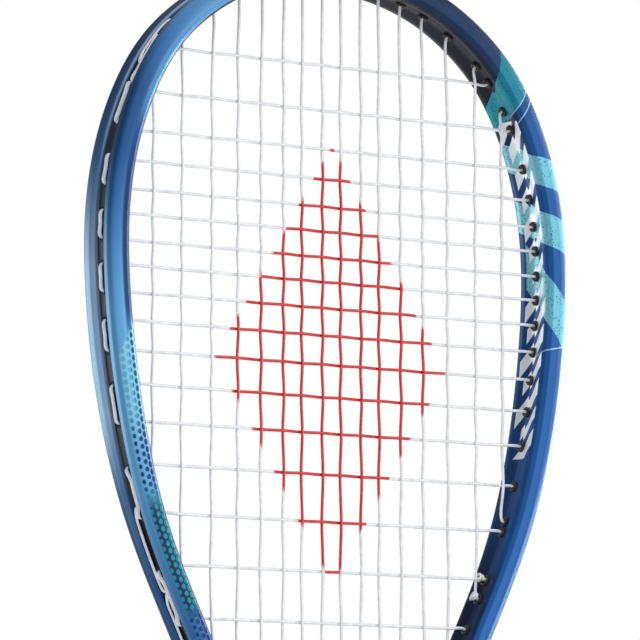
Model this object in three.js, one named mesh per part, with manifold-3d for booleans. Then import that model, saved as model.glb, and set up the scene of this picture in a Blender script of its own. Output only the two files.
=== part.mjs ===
// A strung squash racket with an open throat, in millimetres. The butt end stands at z = 0, the racket points
// up along +Z, the head spreads along X and the strings lie in the plane y = 0.
import * as THREE from "three";
import { ParametricGeometry } from "three/addons/geometries/ParametricGeometry.js";
import { mergeVertices } from "three/addons/utils/BufferGeometryUtils.js";
import Module from "manifold-3d";

const wasm = await Module();
wasm.setup();

// ---- driving dimensions ----

const GAP = 0.3; // between neighbouring pieces

// Half of the frame's centre line, from the top of the head down the right leg into the shaft: [x, z].
const HALF_LINE = [
  [0, 680],
  [25, 677.4],
  [46.8, 670.4],
  [61.6, 661.7],
  [76.6, 648.4],
  [90.3, 626.8],
  [98.4, 603.5],
  [102.4, 572],
  [101.7, 549],
  [99.3, 526],
  [94.8, 500],
  [85.3, 466],
  [74.3, 440],
  [67.2, 425.5],
  [49.4, 389],
  [32.6, 354],
  [19.6, 325],
  [11.2, 303],
  [7.2, 283],
  [6, 262],
];

// The beam's section across the line, the half with y > 0: w points away from the strings.
const FLOOR_W = 1.2; // floor of the string groove
const LIP_W = 3.5; // edge of the groove
const WALL_W = -3.3; // middle of the slightly hollow wall that faces the strings
const BEAM_HALF = [
  [FLOOR_W, 2.9],
  [LIP_W, 3.4],
  [4.7, 5.4],
  [4.8, 7.6],
  [4.3, 9.7],
  [0.6, 10.8],
  [-2.2, 10.4],
  [-4.2, 9.6],
  [-4.8, 6.8],
  [WALL_W, 1.4],
];
const PLAIN_W = 4.8; // half width of a leg, which has no groove
const LOBE = [
  [-3, 5.2],
  [0.2, 4.6],
  [3.2, 5.9],
  [3.3, 8.6],
  [0.4, 9.4],
  [-3.1, 8.2],
]; // one of the two hollows along the beam

// The beam is slimmer where the head narrows towards the throat: its section is scaled by this.
const SLIM = 0.87;
const SLIM_Z = [430, 530]; // from the slimmest to the full section

const HEAD_STEPS = 48; // straight steps around the head
const LEG_STEPS = 8;
const GROOVE_END_Z = 398; // the groove fades out below this height
const GROOVE_FADE = 12;

// String bed
const MAIN_X = [4.25, 13.9, 22.4, 32.8, 43.4, 55.3, 68.9, 81.9]; // from the middle out, on both sides
const CROSS_Z = [
  643.9, 626.2, 611, 599.2, 588.4, 578.7, 568.6, 559, 548.8, 538.1, 526.8, 514.1, 500.1, 484.1, 465.8, 446.6,
  426.8,
];
const MAINS = 2 * MAIN_X.length;
const STRING_R = 0.6;
const WEAVE = 0.75; // how far a string stands off the plane where it passes another
const LANE = 1.9; // where both run along the groove, mains do so at +LANE and crosses at -LANE
const FREE_CROSSES = [1, 12]; // from and up to these crosses, a cross has the groove to itself
const LANE_W = 3.1;
const CROSSING_ROOM = 1.5; // a cross passes a main only if its barrel is at least this far beyond it
const LANE_LEAD = 5; // distance over which a string moves from its hole to its lane
const EDGE_MAIN_LIFT = 4.6; // the outermost mains end this far above the end of cross 15
const KNOT_R = 1;
const KNOT_IN = 0.9; // the knot's distance from the barrel's end
const KNOT_Y = 0.5; // the knot sits this far to the tail's side of its string

// Grommets: a strip on the groove's floor with barrels through the beam
const STRIP_W = [FLOOR_W + GAP, 2.2];
const STRIP_HALF = 2.5;
const BARREL_END = -4.5; // the barrels stand out of the wall that faces the strings
const BARREL = { outer: 2.1, bore: 1.06, hole: 2.48 };
const TIE_BARREL = { outer: 2.35, bore: 1.8, hole: 2.72 }; // holds two strings beside a knot
const OWN_Y = 0.6; // in a barrel that holds two strings, the one that passes it stands this far aside,
const TAIL_Y = 0.9; // and the tail that ends there stands this far to the other side
const STRIP_END = 3.6; // a strip runs on past its last barrel

// Bumper over the top of the head
const BUMPER_X = 41.5;
const BUMPER_HALF = [
  [STRIP_W[0], STRIP_HALF],
  [3.7, 2.95],
  [5.1, 5.3],
  [5.2, 8.3],
  [5.9, 7.9],
  [6, 5],
  [4.6, 2.6],
  [STRIP_W[1], 2.55],
];

// Throat bridge
const BRIDGE_LINE = [
  [-62, 404],
  [-44, 394.6],
  [-22, 387.5],
  [0, 385.2],
  [22, 387.5],
  [44, 394.6],
  [62, 404],
];
const BRIDGE_BEAM = [
  [3.2, 0.8],
  [3.6, 4],
  [3.1, 7.6],
  [0, 9],
  [-3.2, 7.8],
  [-3.9, 5],
  [-3.4, 3.2],
  [-1.4, 2.8],
]; // here the first number is the height above the bridge's line
const BRIDGE_STRIP = [-1.7, -2.4];
const BRIDGE_STRIP_X = 45.2; // the strip ends this far from the middle, short of the legs
const BRIDGE_LANE = -3.3;
const BRIDGE_BARREL_END = 4.3;
const BRIDGE_MAINS = 5; // mains on each side of the middle that end in the bridge

// Shaft and handle
const SHAFT_ROWS = [
  [6, 9.6, 8.6],
  [150, 9.8, 8.8],
  [215, 10.4, 9.4],
  [268, 11.4, 10.2],
  [284, 11.2, 10.2],
  [302, 9, 8.4],
]; // [z, half width, half depth]
const SHAFT_WALL = 1.6;
const HANDLE_TOP = 203;
const HANDLE = [13.2, 11.4]; // half width and half depth of the foam
const HANDLE_HEEL = [14.6, 12.8]; // the same at the butt
const HEEL_TOP = 44;
const CAP_LIP_Z = 8;
const CAP_TOP = 24;
const CAP_LIP = [18.6, 16.8];
const CAP_WALL = 1.2;
const BADGE_R = 7.5;
const BADGE_Z = [0.3, 0.9];
const BADGE_RECESS = 1.2; // depth of its seat
const CORE_Z = 3; // the foam starts above the cap's floor
const STAPLE = { span: 9, leg: 4.6, wire: 0.9 };
const STAPLE_ROOM = 0.7; // its slot is wider by this
const STAPLE_Z = 17;
const WRAP_THICK = 1.8;
const WRAP_TOP = 201;
const TAPE_Z = [191, 202];
const TAPE_THICK = 0.7;
const COLLAR_TOP = 219;

const CARBON_BLUE = 0x3d78b4;
const BLACK_NYLON = 0x1d1b1f;
const STRING_WHITE = 0xe6e6e2;
const GRIP_BLACK = 0x222224;
const FOAM = 0xd9c9a0;
const STEEL = 0xb8bcc0;

// ---- solids ----

// A closed geometry as a manifold solid, turned face out if it was inside out.
function solidOf(source) {
  const geometry = source.index ? source.toNonIndexed() : source.clone();
  geometry.deleteAttribute("normal");
  geometry.deleteAttribute("uv");
  const merged = mergeVertices(geometry, 1e-4);
  const points = merged.attributes.position;
  const kept = [];
  const [a, b, c] = [new THREE.Vector3(), new THREE.Vector3(), new THREE.Vector3()];
  let volume = 0;
  for (let i = 0; i < merged.index.count; i += 3) {
    const [ia, ib, ic] = [0, 1, 2].map((k) => merged.index.getX(i + k));
    if (ia === ib || ib === ic || ic === ia) continue;
    kept.push([ia, ib, ic]);
    a.fromBufferAttribute(points, ia);
    b.fromBufferAttribute(points, ib);
    c.fromBufferAttribute(points, ic);
    volume += a.dot(b.cross(c));
  }
  const corners = volume < 0 ? kept.map(([p, q, r]) => [p, r, q]) : kept;
  const triVerts = new Uint32Array(corners.flat());
  return new wasm.Manifold(new wasm.Mesh({ numProp: 3, vertProperties: points.array, triVerts }));
}

function geometryOf(solid) {
  const mesh = solid.getMesh();
  const geometry = new THREE.BufferGeometry();
  geometry.setAttribute("position", new THREE.BufferAttribute(mesh.vertProperties, 3));
  geometry.setIndex(new THREE.BufferAttribute(mesh.triVerts, 1));
  return geometry;
}

// A closed skin over rows of points, each row a loop of as many points, with a flat cap at each end.
function loft(rows) {
  const count = rows[0].length;
  const middle = (row) =>
    row.reduce((sum, p) => sum.add(p), new THREE.Vector3()).divideScalar(count);
  const first = rows[0].map(() => middle(rows[0]));
  const last = rows[0].map(() => middle(rows.at(-1)));
  const all = [first, ...rows, last];
  const at = (u, v, target) => {
    const row = all[Math.round(v * (all.length - 1))];
    target.copy(row[Math.round(u * count) % count]);
  };
  return solidOf(new ParametricGeometry(at, count, all.length - 1));
}

// Both halves of a section that is given for y > 0, as one loop.
function mirrored(half) {
  return [...half, ...half.toReversed().map(([w, y]) => [w, -y])];
}

// ---- the frame's centre line ----

const lineCurve = new THREE.CatmullRomCurve3(
  [...HALF_LINE.toReversed().map(([x, z]) => [-x, z]), ...HALF_LINE.slice(1)].map(
    ([x, z]) => new THREE.Vector3(x, 0, z),
  ),
  false,
  "centripetal",
);
lineCurve.arcLengthDivisions = 2000;
const LENGTH = lineCurve.getLength(); // the distance s along the line is 0 at the left leg's foot

// Point and outward direction at distance s along the line.
function lineAt(s) {
  const u = THREE.MathUtils.clamp(s / LENGTH, 0, 1);
  const along = lineCurve.getTangentAt(u);
  return {
    point: lineCurve.getPointAt(u),
    along,
    out: new THREE.Vector3(-along.z, 0, along.x),
  };
}

// A point in the beam: s along the line, w outwards, y across the depth.
function beamPoint(s, w, y) {
  const { point, out } = lineAt(s);
  return point.addScaledVector(out, w).setY(y);
}

// The distance along the line, on the right half, where the barrel's end has the given x or z.
function barrelAt(axis, value, low = LENGTH / 2, high = LENGTH) {
  let [near, far] = [low, high];
  const rises = beamPoint(high, BARREL_END, 0)[axis] > beamPoint(low, BARREL_END, 0)[axis];
  for (let i = 0; i < 40; i++) {
    const middle = (near + far) / 2;
    const isPast = beamPoint(middle, BARREL_END, 0)[axis] > value;
    if (isPast === rises) far = middle;
    else near = middle;
  }
  return (near + far) / 2;
}

const WIDEST_S = barrelAt("z", 571); // where the head stops widening, seen from the top
const onSide = (side, s) => (side > 0 ? s : LENGTH - s);
const crossEnd = (side, k) => onSide(side, barrelAt("z", CROSS_Z[k]));
const mainTop = (side, i) => onSide(side, barrelAt("x", MAIN_X[i], LENGTH / 2, WIDEST_S));
const EDGE = MAIN_X.length - 1;

function mainFoot(side, i) {
  const low = i === EDGE ? barrelAt("z", CROSS_Z[14]) - EDGE_MAIN_LIFT : barrelAt("x", MAIN_X[i], WIDEST_S);
  return onSide(side, low);
}

// Every hole through the beam, with the barrel that sits in it. Two strings share a barrel at the knots.
const sides = [-1, 1];
const holes = sides.flatMap((side) => [
  ...CROSS_Z.map((z, k) => {
    const isTie = side > 0 ? k === 15 : k === 1;
    return { s: crossEnd(side, k), size: isTie ? TIE_BARREL : BARREL };
  }),
  ...MAIN_X.map((x, i) => ({ s: mainTop(side, i), size: BARREL })),
  ...[5, 6, 7].map((i) => ({ s: mainFoot(side, i), size: i === 6 ? TIE_BARREL : BARREL })),
]);

// A six-sided peg through the beam at s, from w = from to w = to.
function peg(s, radius, from, to) {
  const { point, out } = lineAt(s);
  const rod = new THREE.CylinderGeometry(radius, radius, to - from, 6);
  rod.applyQuaternion(new THREE.Quaternion().setFromUnitVectors(new THREE.Vector3(0, 1, 0), out));
  const centre = point.addScaledVector(out, (from + to) / 2);
  rod.translate(centre.x, centre.y, centre.z);
  return solidOf(rod);
}

// ---- frame ----

function spread(from, to, steps) {
  return Array.from({ length: steps + 1 }, (_, i) => from + ((to - from) * i) / steps);
}

// A section swept along the line between two distances.
function sweep(section, stations) {
  return loft(
    stations.map((s) => {
      const shape = typeof section === "function" ? section(s) : section;
      return shape.map(([w, y]) => beamPoint(s, w, y));
    }),
  );
}

function slimAt(s) {
  return THREE.MathUtils.lerp(SLIM, 1, THREE.MathUtils.smoothstep(lineAt(s).point.z, ...SLIM_Z));
}

// The beam's section, whose groove and hollow wall fade out down the legs. It is larger by grow all round.
function beamSection(s, grow = 0) {
  const groove = THREE.MathUtils.smoothstep(lineAt(s).point.z, GROOVE_END_Z - GROOVE_FADE, GROOVE_END_Z);
  const slim = slimAt(s);
  const plain = PLAIN_W * slim;
  const half = BEAM_HALF.map(([w, y]) => {
    if (w === FLOOR_W || w === LIP_W) return [THREE.MathUtils.lerp(plain, w, groove) + grow, y - grow];
    if (w === WALL_W) return [THREE.MathUtils.lerp(-plain, w, groove) - grow, y];
    return [w * slim + Math.sign(w) * grow, y * slim + grow];
  });
  return mirrored(half);
}

// An oval with flattened sides, as a loop of points at height z.
function oval(z, halfWidth, halfDepth, count = 16, power = 0.7) {
  return Array.from({ length: count }, (_, i) => {
    const angle = (2 * Math.PI * (i + 0.5)) / count;
    const flat = (v) => Math.sign(v) * Math.abs(v) ** power;
    return new THREE.Vector3(halfWidth * flat(Math.cos(angle)), halfDepth * flat(Math.sin(angle)), z);
  });
}

const ovalLoft = (rows, count, power) => loft(rows.map(([z, a, b]) => oval(z, a, b, count, power)));

// Distances along the line at which the beam's section is placed: the right leg, then the whole line.
const headFoot = barrelAt("z", 396);
const rightLeg = spread(headFoot, LENGTH, LEG_STEPS).slice(1);
const leftLeg = rightLeg.map((s) => LENGTH - s).reverse();
const stations = [...leftLeg, ...spread(LENGTH - headFoot, headFoot, HEAD_STEPS), ...rightLeg];

function frameTube() {
  const outer = sweep((s) => beamSection(s), stations).add(ovalLoft(SHAFT_ROWS));
  const lobeSection = (side) => (s) => LOBE.map(([w, y]) => [w * slimAt(s), side * y * slimAt(s)]);
  const lobes = sides.map((side) => sweep(lobeSection(side), stations));
  const hollowRows = SHAFT_ROWS.map(([z, a, b]) => [z - 12, a - SHAFT_WALL, b - SHAFT_WALL]);
  let hollow = ovalLoft(hollowRows, 12);
  for (const lobe of lobes) hollow = hollow.add(lobe);
  let body = outer.subtract(hollow);
  for (const { s, size } of holes) body = body.subtract(peg(s, size.hole, -8, 8));
  return body;
}

// ---- throat bridge ----

const bridgeCurve = new THREE.CatmullRomCurve3(BRIDGE_LINE.map(([x, z]) => new THREE.Vector3(x, 0, z)));

// A point at h above the bridge's line, at the place across the racket where the line has the given x.
function bridgePoint(x, h, y) {
  let [low, high] = [0, 1];
  for (let i = 0; i < 40; i++) {
    const middle = (low + high) / 2;
    if (bridgeCurve.getPoint(middle).x > x) high = middle;
    else low = middle;
  }
  const along = bridgeCurve.getTangent(low);
  const up = new THREE.Vector3(-along.z, 0, along.x);
  return bridgeCurve.getPoint(low).addScaledVector(up, h).setY(y);
}

const bridgeSweep = (section, xs) =>
  loft(xs.map((x) => mirrored(section).map(([h, y]) => bridgePoint(x, h, y))));

function uprightPeg(x, radius, from, to) {
  const rod = new THREE.CylinderGeometry(radius, radius, to - from, 6);
  rod.rotateX(Math.PI / 2);
  rod.translate(x, 0, (from + to) / 2);
  return solidOf(rod);
}

const bridgeMains = sides.flatMap((side) => MAIN_X.slice(0, BRIDGE_MAINS).map((x) => side * x));
const bridgeTop = (x) => bridgePoint(x, BRIDGE_BARREL_END, 0).z;
const bridgeFoot = (x) => bridgePoint(x, BRIDGE_STRIP[1], 0).z;

// The bridge is cut to fit between the legs.
function throatBridge() {
  let body = bridgeSweep(BRIDGE_BEAM, spread(-58, 58, 20));
  const near = stations.filter((s) => s > barrelAt("z", 460) && s < barrelAt("z", 330));
  for (const side of sides) {
    const leg = sweep(
      (s) => beamSection(s, GAP + 0.05),
      near.map((s) => onSide(side, s)).sort((p, q) => p - q),
    );
    const beyond = new THREE.BoxGeometry(40, 40, 90).translate(side * 80, 0, 400);
    body = body.subtract(leg).subtract(solidOf(beyond));
    body = body.subtract(peg(mainFoot(side, 5), BARREL.hole, -9, 8));
  }
  for (const x of bridgeMains) {
    body = body.subtract(uprightPeg(x, BARREL.hole, bridgeTop(x) - 14, bridgeTop(x) + 4));
  }
  return largest(body);
}

// The biggest of a solid's separate bodies, which leaves slivers behind.
function largest(solid) {
  return solid.decompose().reduce((best, next) => (next.volume() > best.volume() ? next : best));
}

function bridgeStrip() {
  const [top, bottom] = BRIDGE_STRIP;
  const section = [
    [top, STRIP_HALF],
    [bottom, STRIP_HALF],
  ];
  let strip = bridgeSweep(section, spread(-BRIDGE_STRIP_X, BRIDGE_STRIP_X, 14));
  for (const x of bridgeMains) {
    strip = strip.add(uprightPeg(x, BARREL.outer, bridgeFoot(x) + 0.2, bridgeTop(x)));
  }
  for (const x of bridgeMains) {
    strip = strip.subtract(uprightPeg(x, BARREL.bore, bridgeFoot(x) - 3, bridgeTop(x) + 3));
  }
  return strip;
}

// ---- grommet strips and bumper ----

// Barrels of the holes whose distance is between from and to, joined to the base and bored out.
function withBarrels(base, from, to) {
  const own = holes.filter(({ s }) => s > from && s < to);
  let strip = base;
  for (const { s, size } of own) strip = strip.add(peg(s, size.outer, BARREL_END, STRIP_W[0] + 0.2));
  for (const { s, size } of own) strip = strip.subtract(peg(s, size.bore, BARREL_END - 2, STRIP_W[1] + 2));
  return strip;
}

function grommetStrip(from, to, steps) {
  const [bottom, top] = STRIP_W;
  const section = mirrored([
    [top, STRIP_HALF],
    [bottom, STRIP_HALF],
  ]);
  return withBarrels(sweep(section, spread(from, to, steps)), from, to);
}

// Where the strips of the right side meet: bumper, side strip, lower strip.
const bumperEdge = barrelAt("x", BUMPER_X, LENGTH / 2, WIDEST_S) - STRIP_END;
const lowerEdge = (barrelAt("z", CROSS_Z[12]) + barrelAt("z", CROSS_Z[13])) / 2;
const stripFoot = mainFoot(1, 5) + STRIP_END;

function sideStrip(side) {
  const ends = [bumperEdge + GAP / 2, lowerEdge - GAP / 2].map((s) => onSide(side, s));
  return grommetStrip(Math.min(...ends), Math.max(...ends), 20);
}

function lowerStrip(side) {
  const ends = [lowerEdge + GAP / 2, stripFoot].map((s) => onSide(side, s));
  return grommetStrip(Math.min(...ends), Math.max(...ends), 10);
}

// The bumper's base lies in the groove and two wings cover the crown; the strings run in its channel.
function bumperGuard() {
  const from = LENGTH - bumperEdge + GAP / 2;
  const to = bumperEdge - GAP / 2;
  return withBarrels(sweep(mirrored(BUMPER_HALF), spread(from, to, 26)), from, to);
}

// ---- strings ----

// Where a string leaves or enters the beam on its way to the next hole, as a list of corners: inside end, outer
// mouth, then the lane. toward is the sign of s along which the lane runs, offset the y at the hole.
function mouth(s, toward, lane, offset = 0) {
  return [
    beamPoint(s, BARREL_END - 0.4, offset),
    beamPoint(s, LANE_W - 0.7, offset),
    beamPoint(s + 0.7 * toward, LANE_W, offset),
    beamPoint(s + LANE_LEAD * toward, LANE_W, lane),
  ];
}

// From one hole to another along the groove.
function groovePath(from, to, lane, offsetFrom = 0, offsetTo = 0) {
  const toward = Math.sign(to - from);
  const between = spread(from, to, Math.max(1, Math.round(Math.abs(to - from) / 7)))
    .filter((s) => Math.abs(s - from) > LANE_LEAD + 1 && Math.abs(s - to) > LANE_LEAD + 1)
    .map((s) => beamPoint(s, LANE_W, lane));
  const start = mouth(from, toward, lane, offsetFrom);
  const end = mouth(to, -toward, lane, offsetTo).reverse();
  const isShort = Math.abs(to - from) < 2 * LANE_LEAD;
  if (isShort) return [...start.slice(0, 3), beamPoint((from + to) / 2, LANE_W, lane), ...end.slice(1)];
  return [...start, ...between, ...end];
}

// From one bridge hole to the next, under the bridge.
function bridgePath(from, to) {
  const side = Math.sign(to - from);
  return [
    new THREE.Vector3(from, 0, bridgeTop(from) + 0.4),
    new THREE.Vector3(from, 0, bridgePoint(from, BRIDGE_LANE + 0.7, 0).z),
    bridgePoint(from + 0.7 * side, BRIDGE_LANE, 0),
    bridgePoint(to - 0.7 * side, BRIDGE_LANE, 0),
    new THREE.Vector3(to, 0, bridgePoint(to, BRIDGE_LANE + 0.7, 0).z),
    new THREE.Vector3(to, 0, bridgeTop(to) + 0.4),
  ];
}

// Mains count from 0 at the left, crosses from 0 at the top. The string on top changes at every crossing.
const mainSide = (m) => (m < MAINS / 2 ? -1 : 1);
const mainIndex = (m) => (m < MAINS / 2 ? MAINS / 2 - 1 - m : m - MAINS / 2);
const mainX = (m) => mainSide(m) * MAIN_X[mainIndex(m)];
const weave = (m, k) => ((m + k) % 2 ? WEAVE : -WEAVE);
const topOf = (m) => mainTop(mainSide(m), mainIndex(m));
const footOf = (m) => mainFoot(mainSide(m), mainIndex(m));
const endsInBridge = (m) => mainIndex(m) < BRIDGE_MAINS;

// Which mains a cross passes, and the woven part of each string between its barrels.
function crosses(m, k) {
  return beamPoint(crossEnd(1, k), BARREL_END, 0).x > Math.abs(mainX(m)) + CROSSING_ROOM;
}

function mainRun(m) {
  return CROSS_Z.map((z, k) => [z, k])
    .filter(([, k]) => crosses(m, k))
    .map(([z, k]) => new THREE.Vector3(mainX(m), weave(m, k), z));
}

function crossRun(k) {
  return spread(0, MAINS - 1, MAINS - 1)
    .filter((m) => crosses(m, k))
    .map((m) => new THREE.Vector3(mainX(m), -weave(m, k), CROSS_Z[k]));
}

// A four-sided string along a list of points.
function stringAlong(points) {
  const path = points.filter((p, i) => i === 0 || p.distanceTo(points[i - 1]) > 0.2);
  const step = (i) => path[i + 1].clone().sub(path[i]).normalize();
  let side = new THREE.Vector3(0, 1, 0);
  return loft(
    path.map((p, i) => {
      const before = step(Math.max(0, i - 1));
      const after = step(Math.min(path.length - 2, i));
      const along = before.clone().add(after).normalize();
      side = side.clone().addScaledVector(along, -side.dot(along)).normalize();
      const other = along.clone().cross(side);
      const stretch = 1 / Math.max(0.7, along.dot(after));
      return [0, 1, 2, 3].map((q) => {
        const angle = (q * Math.PI) / 2;
        const bend = q % 2 ? stretch : 1;
        return p
          .clone()
          .addScaledVector(side, STRING_R * Math.cos(angle))
          .addScaledVector(other, STRING_R * bend * Math.sin(angle));
      });
    }),
  );
}

function knotAt(s, offset) {
  const centre = beamPoint(s, BARREL_END - KNOT_IN, offset);
  return solidOf(new THREE.SphereGeometry(KNOT_R, 6, 4).translate(centre.x, centre.y, centre.z));
}

// One length of string: up and down the sixteen mains, with each tail led back to a knot beside main 2 or 15.
function mainString() {
  const last = MAINS - 1;
  const tail = (m, tie) => {
    const path = groovePath(footOf(tie), footOf(m), LANE, TAIL_Y, 0);
    return [beamPoint(footOf(tie), BARREL_END - KNOT_IN, TAIL_Y), ...path];
  };
  const points = tail(0, 1);
  for (let m = 0; m <= last; m++) {
    const isUp = m % 2 === 0;
    const run = mainRun(m);
    points.push(...(isUp ? run.reverse() : run));
    if (m === last) break;
    const topLane = mainIndex(m) + mainIndex(m + 1) === 2 * EDGE - 1 ? LANE : 0;
    if (isUp) points.push(...groovePath(topOf(m), topOf(m + 1), topLane));
    else if (endsInBridge(m)) points.push(...bridgePath(mainX(m), mainX(m + 1)));
    else {
      const offset = (n) => (mainIndex(n) === 6 ? -OWN_Y : 0);
      points.push(...groovePath(footOf(m), footOf(m + 1), LANE, offset(m), offset(m + 1)));
    }
  }
  points.push(...tail(last, last - 1).reverse());
  const knots = [1, last - 1].map((m) => knotAt(footOf(m), KNOT_Y));
  return stringAlong(points).add(knots[0]).add(knots[1]);
}

// One length of string: seventeen crosses from the top, starting at the left, with both ends knotted.
function crossString() {
  const last = CROSS_Z.length - 1;
  const points = [beamPoint(crossEnd(-1, 1), BARREL_END - KNOT_IN, -TAIL_Y)];
  points.push(...groovePath(crossEnd(-1, 1), crossEnd(-1, 0), -LANE, -TAIL_Y, 0));
  for (let k = 0; k <= last; k++) {
    const side = k % 2 === 0 ? 1 : -1;
    const run = crossRun(k);
    points.push(...(side > 0 ? run : run.reverse()));
    const isTie = (n) => (side > 0 ? n === 15 : n === 1);
    const offset = (n) => (isTie(n) ? OWN_Y : 0);
    if (k < last) {
      const [from, to] = [crossEnd(side, k), crossEnd(side, k + 1)];
      const isFree = k >= FREE_CROSSES[0] && k <= FREE_CROSSES[1];
      points.push(...groovePath(from, to, isFree ? 0 : -LANE, offset(k), offset(k + 1)));
    }
  }
  points.push(...groovePath(crossEnd(1, last), crossEnd(1, last - 1), -LANE, 0, -TAIL_Y));
  points.push(beamPoint(crossEnd(1, last - 1), BARREL_END - KNOT_IN, -TAIL_Y));
  const knots = [knotAt(crossEnd(-1, 1), -KNOT_Y), knotAt(crossEnd(1, last - 1), -KNOT_Y)];
  return stringAlong(points).add(knots[0]).add(knots[1]);
}

// ---- handle ----

const grown = ([a, b], by) => [a + by, b + by];

// A sleeve between two heights, outer and inner given by rows of [z, half width, half depth].
function sleeve(outer, inner) {
  return ovalLoft(outer).subtract(ovalLoft(inner));
}

const heelRows = (from, top, by) => [
  [from, ...grown(HANDLE_HEEL, by)],
  [HEEL_TOP, ...grown(HANDLE, by)],
  [top, ...grown(HANDLE, by)],
];

function shaftBore(from, to) {
  return [
    [from, ...grown([9.7, 8.7], GAP)],
    [150, ...grown([9.8, 8.8], GAP)],
    [to, ...grown([10.4, 9.4], GAP)],
  ];
}

// A staple with its crown across the handle at x and two legs that point inwards, thicker all round by grow.
function staple(x, grow = 0) {
  const { span, leg, wire } = STAPLE;
  const thick = wire + grow;
  const inward = -Math.sign(x) * (leg - wire) * 0.5;
  const crown = new THREE.BoxGeometry(thick, span + grow, thick).translate(x, 0, STAPLE_Z);
  const legs = sides.map((side) => {
    const bar = new THREE.BoxGeometry(leg + grow, thick, thick);
    return bar.translate(x + inward, (side * (span - wire)) / 2, STAPLE_Z);
  });
  return legs.reduce((body, bar) => body.add(solidOf(bar)), solidOf(crown));
}

const CAP_SKIRT = grown(HANDLE_HEEL, GAP + CAP_WALL);
const STAPLE_X = CAP_SKIRT[0] - 0.75;
const STAPLES = sides.map((side) => side * STAPLE_X);

function handleCore() {
  const body = sleeve(heelRows(CORE_Z, HANDLE_TOP, 0), shaftBore(-5, 230));
  return STAPLES.reduce((core, x) => core.subtract(staple(x, STAPLE_ROOM)), body);
}

// A round plate about the handle's axis between two heights.
function disc(radius, low, high) {
  const plate = new THREE.CylinderGeometry(radius, radius, high - low, 20).rotateX(Math.PI / 2);
  return solidOf(plate.translate(0, 0, (low + high) / 2));
}

function buttCap() {
  const outer = ovalLoft([
    [0, ...grown(CAP_LIP, -1.4)],
    [1.2, ...CAP_LIP],
    [CAP_LIP_Z - 1, ...CAP_LIP],
    [CAP_LIP_Z, ...grown(CAP_LIP, -1)],
    [CAP_LIP_Z + 0.1, ...CAP_SKIRT],
    [CAP_TOP, ...CAP_SKIRT],
  ]);
  const inner = ovalLoft([
    [CORE_Z - GAP, ...grown(HANDLE_HEEL, GAP)],
    [CAP_TOP + 5, ...grown(HANDLE_HEEL, GAP)],
  ]);
  const recess = disc(BADGE_R + GAP, -BADGE_RECESS, BADGE_RECESS);
  const cup = outer.subtract(inner).subtract(recess);
  return STAPLES.reduce((cap, x) => cap.subtract(staple(x, STAPLE_ROOM)), cup);
}

const buttBadge = () => disc(BADGE_R, ...BADGE_Z);

function gripWrap() {
  const inside = GAP;
  const overCap = GAP + CAP_WALL + GAP;
  const rows = (by, low, high) => [
    [low, ...grown(HANDLE_HEEL, overCap + by)],
    [CAP_TOP + 1, ...grown(HANDLE_HEEL, overCap + by)],
    [HEEL_TOP + 6, ...grown(HANDLE, inside + by)],
    [high, ...grown(HANDLE, inside + by)],
  ];
  const low = CAP_LIP_Z + GAP + 0.1;
  return sleeve(rows(WRAP_THICK, low, WRAP_TOP), rows(0, low - 3, WRAP_TOP + 3));
}

function finishingTape() {
  const over = GAP + WRAP_THICK + GAP;
  const rows = (by, low, high) => [
    [low, ...grown(HANDLE, over + by)],
    [high, ...grown(HANDLE, over + by)],
  ];
  return sleeve(rows(TAPE_THICK, ...TAPE_Z), rows(0, TAPE_Z[0] - 2, TAPE_Z[1] + 2));
}

function gripCollar() {
  const low = HANDLE_TOP + GAP;
  const outer = ovalLoft([
    [low, ...grown(HANDLE, 2.2)],
    [low + 3, ...grown(HANDLE, 2.4)],
    [COLLAR_TOP - 1, 12.2, 11.2],
    [COLLAR_TOP, 11.6, 10.6],
  ]);
  return outer.subtract(ovalLoft(shaftBore(low - 60, COLLAR_TOP + 5)));
}

// ---- the racket ----

const group = new THREE.Group();

function add(name, solid, color, roughness, metalness) {
  const material = new THREE.MeshStandardMaterial({ color, roughness, metalness });
  const mesh = new THREE.Mesh(geometryOf(solid), material);
  mesh.name = name;
  group.add(mesh);
}

add("frame_tube", frameTube(), CARBON_BLUE, 0.3, 0.4);
add("throat_bridge", throatBridge(), CARBON_BLUE, 0.3, 0.4);
add("bumper_guard", bumperGuard(), BLACK_NYLON, 0.5, 0);
add("side_grommet_strip_left", sideStrip(-1), BLACK_NYLON, 0.5, 0);
add("side_grommet_strip_right", sideStrip(1), BLACK_NYLON, 0.5, 0);
add("lower_grommet_strip_left", lowerStrip(-1), BLACK_NYLON, 0.5, 0);
add("lower_grommet_strip_right", lowerStrip(1), BLACK_NYLON, 0.5, 0);
add("bridge_grommet_strip", bridgeStrip(), BLACK_NYLON, 0.5, 0);
add("main_string", mainString(), STRING_WHITE, 0.35, 0);
add("cross_string", crossString(), STRING_WHITE, 0.35, 0);
add("handle_core", handleCore(), FOAM, 0.9, 0);
add("butt_cap", buttCap(), BLACK_NYLON, 0.5, 0);
add("butt_badge", buttBadge(), CARBON_BLUE, 0.3, 0.3);
add("butt_staple_left", staple(-STAPLE_X), STEEL, 0.3, 1);
add("butt_staple_right", staple(STAPLE_X), STEEL, 0.3, 1);
add("grip_wrap", gripWrap(), GRIP_BLACK, 0.8, 0);
add("grip_finishing_tape", finishingTape(), GRIP_BLACK, 0.4, 0);
add("grip_collar", gripCollar(), GRIP_BLACK, 0.6, 0);

export default group;
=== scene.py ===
"""A strung squash racket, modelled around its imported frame. Lengths are in mm until a mesh is made."""

import math
from types import SimpleNamespace

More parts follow.
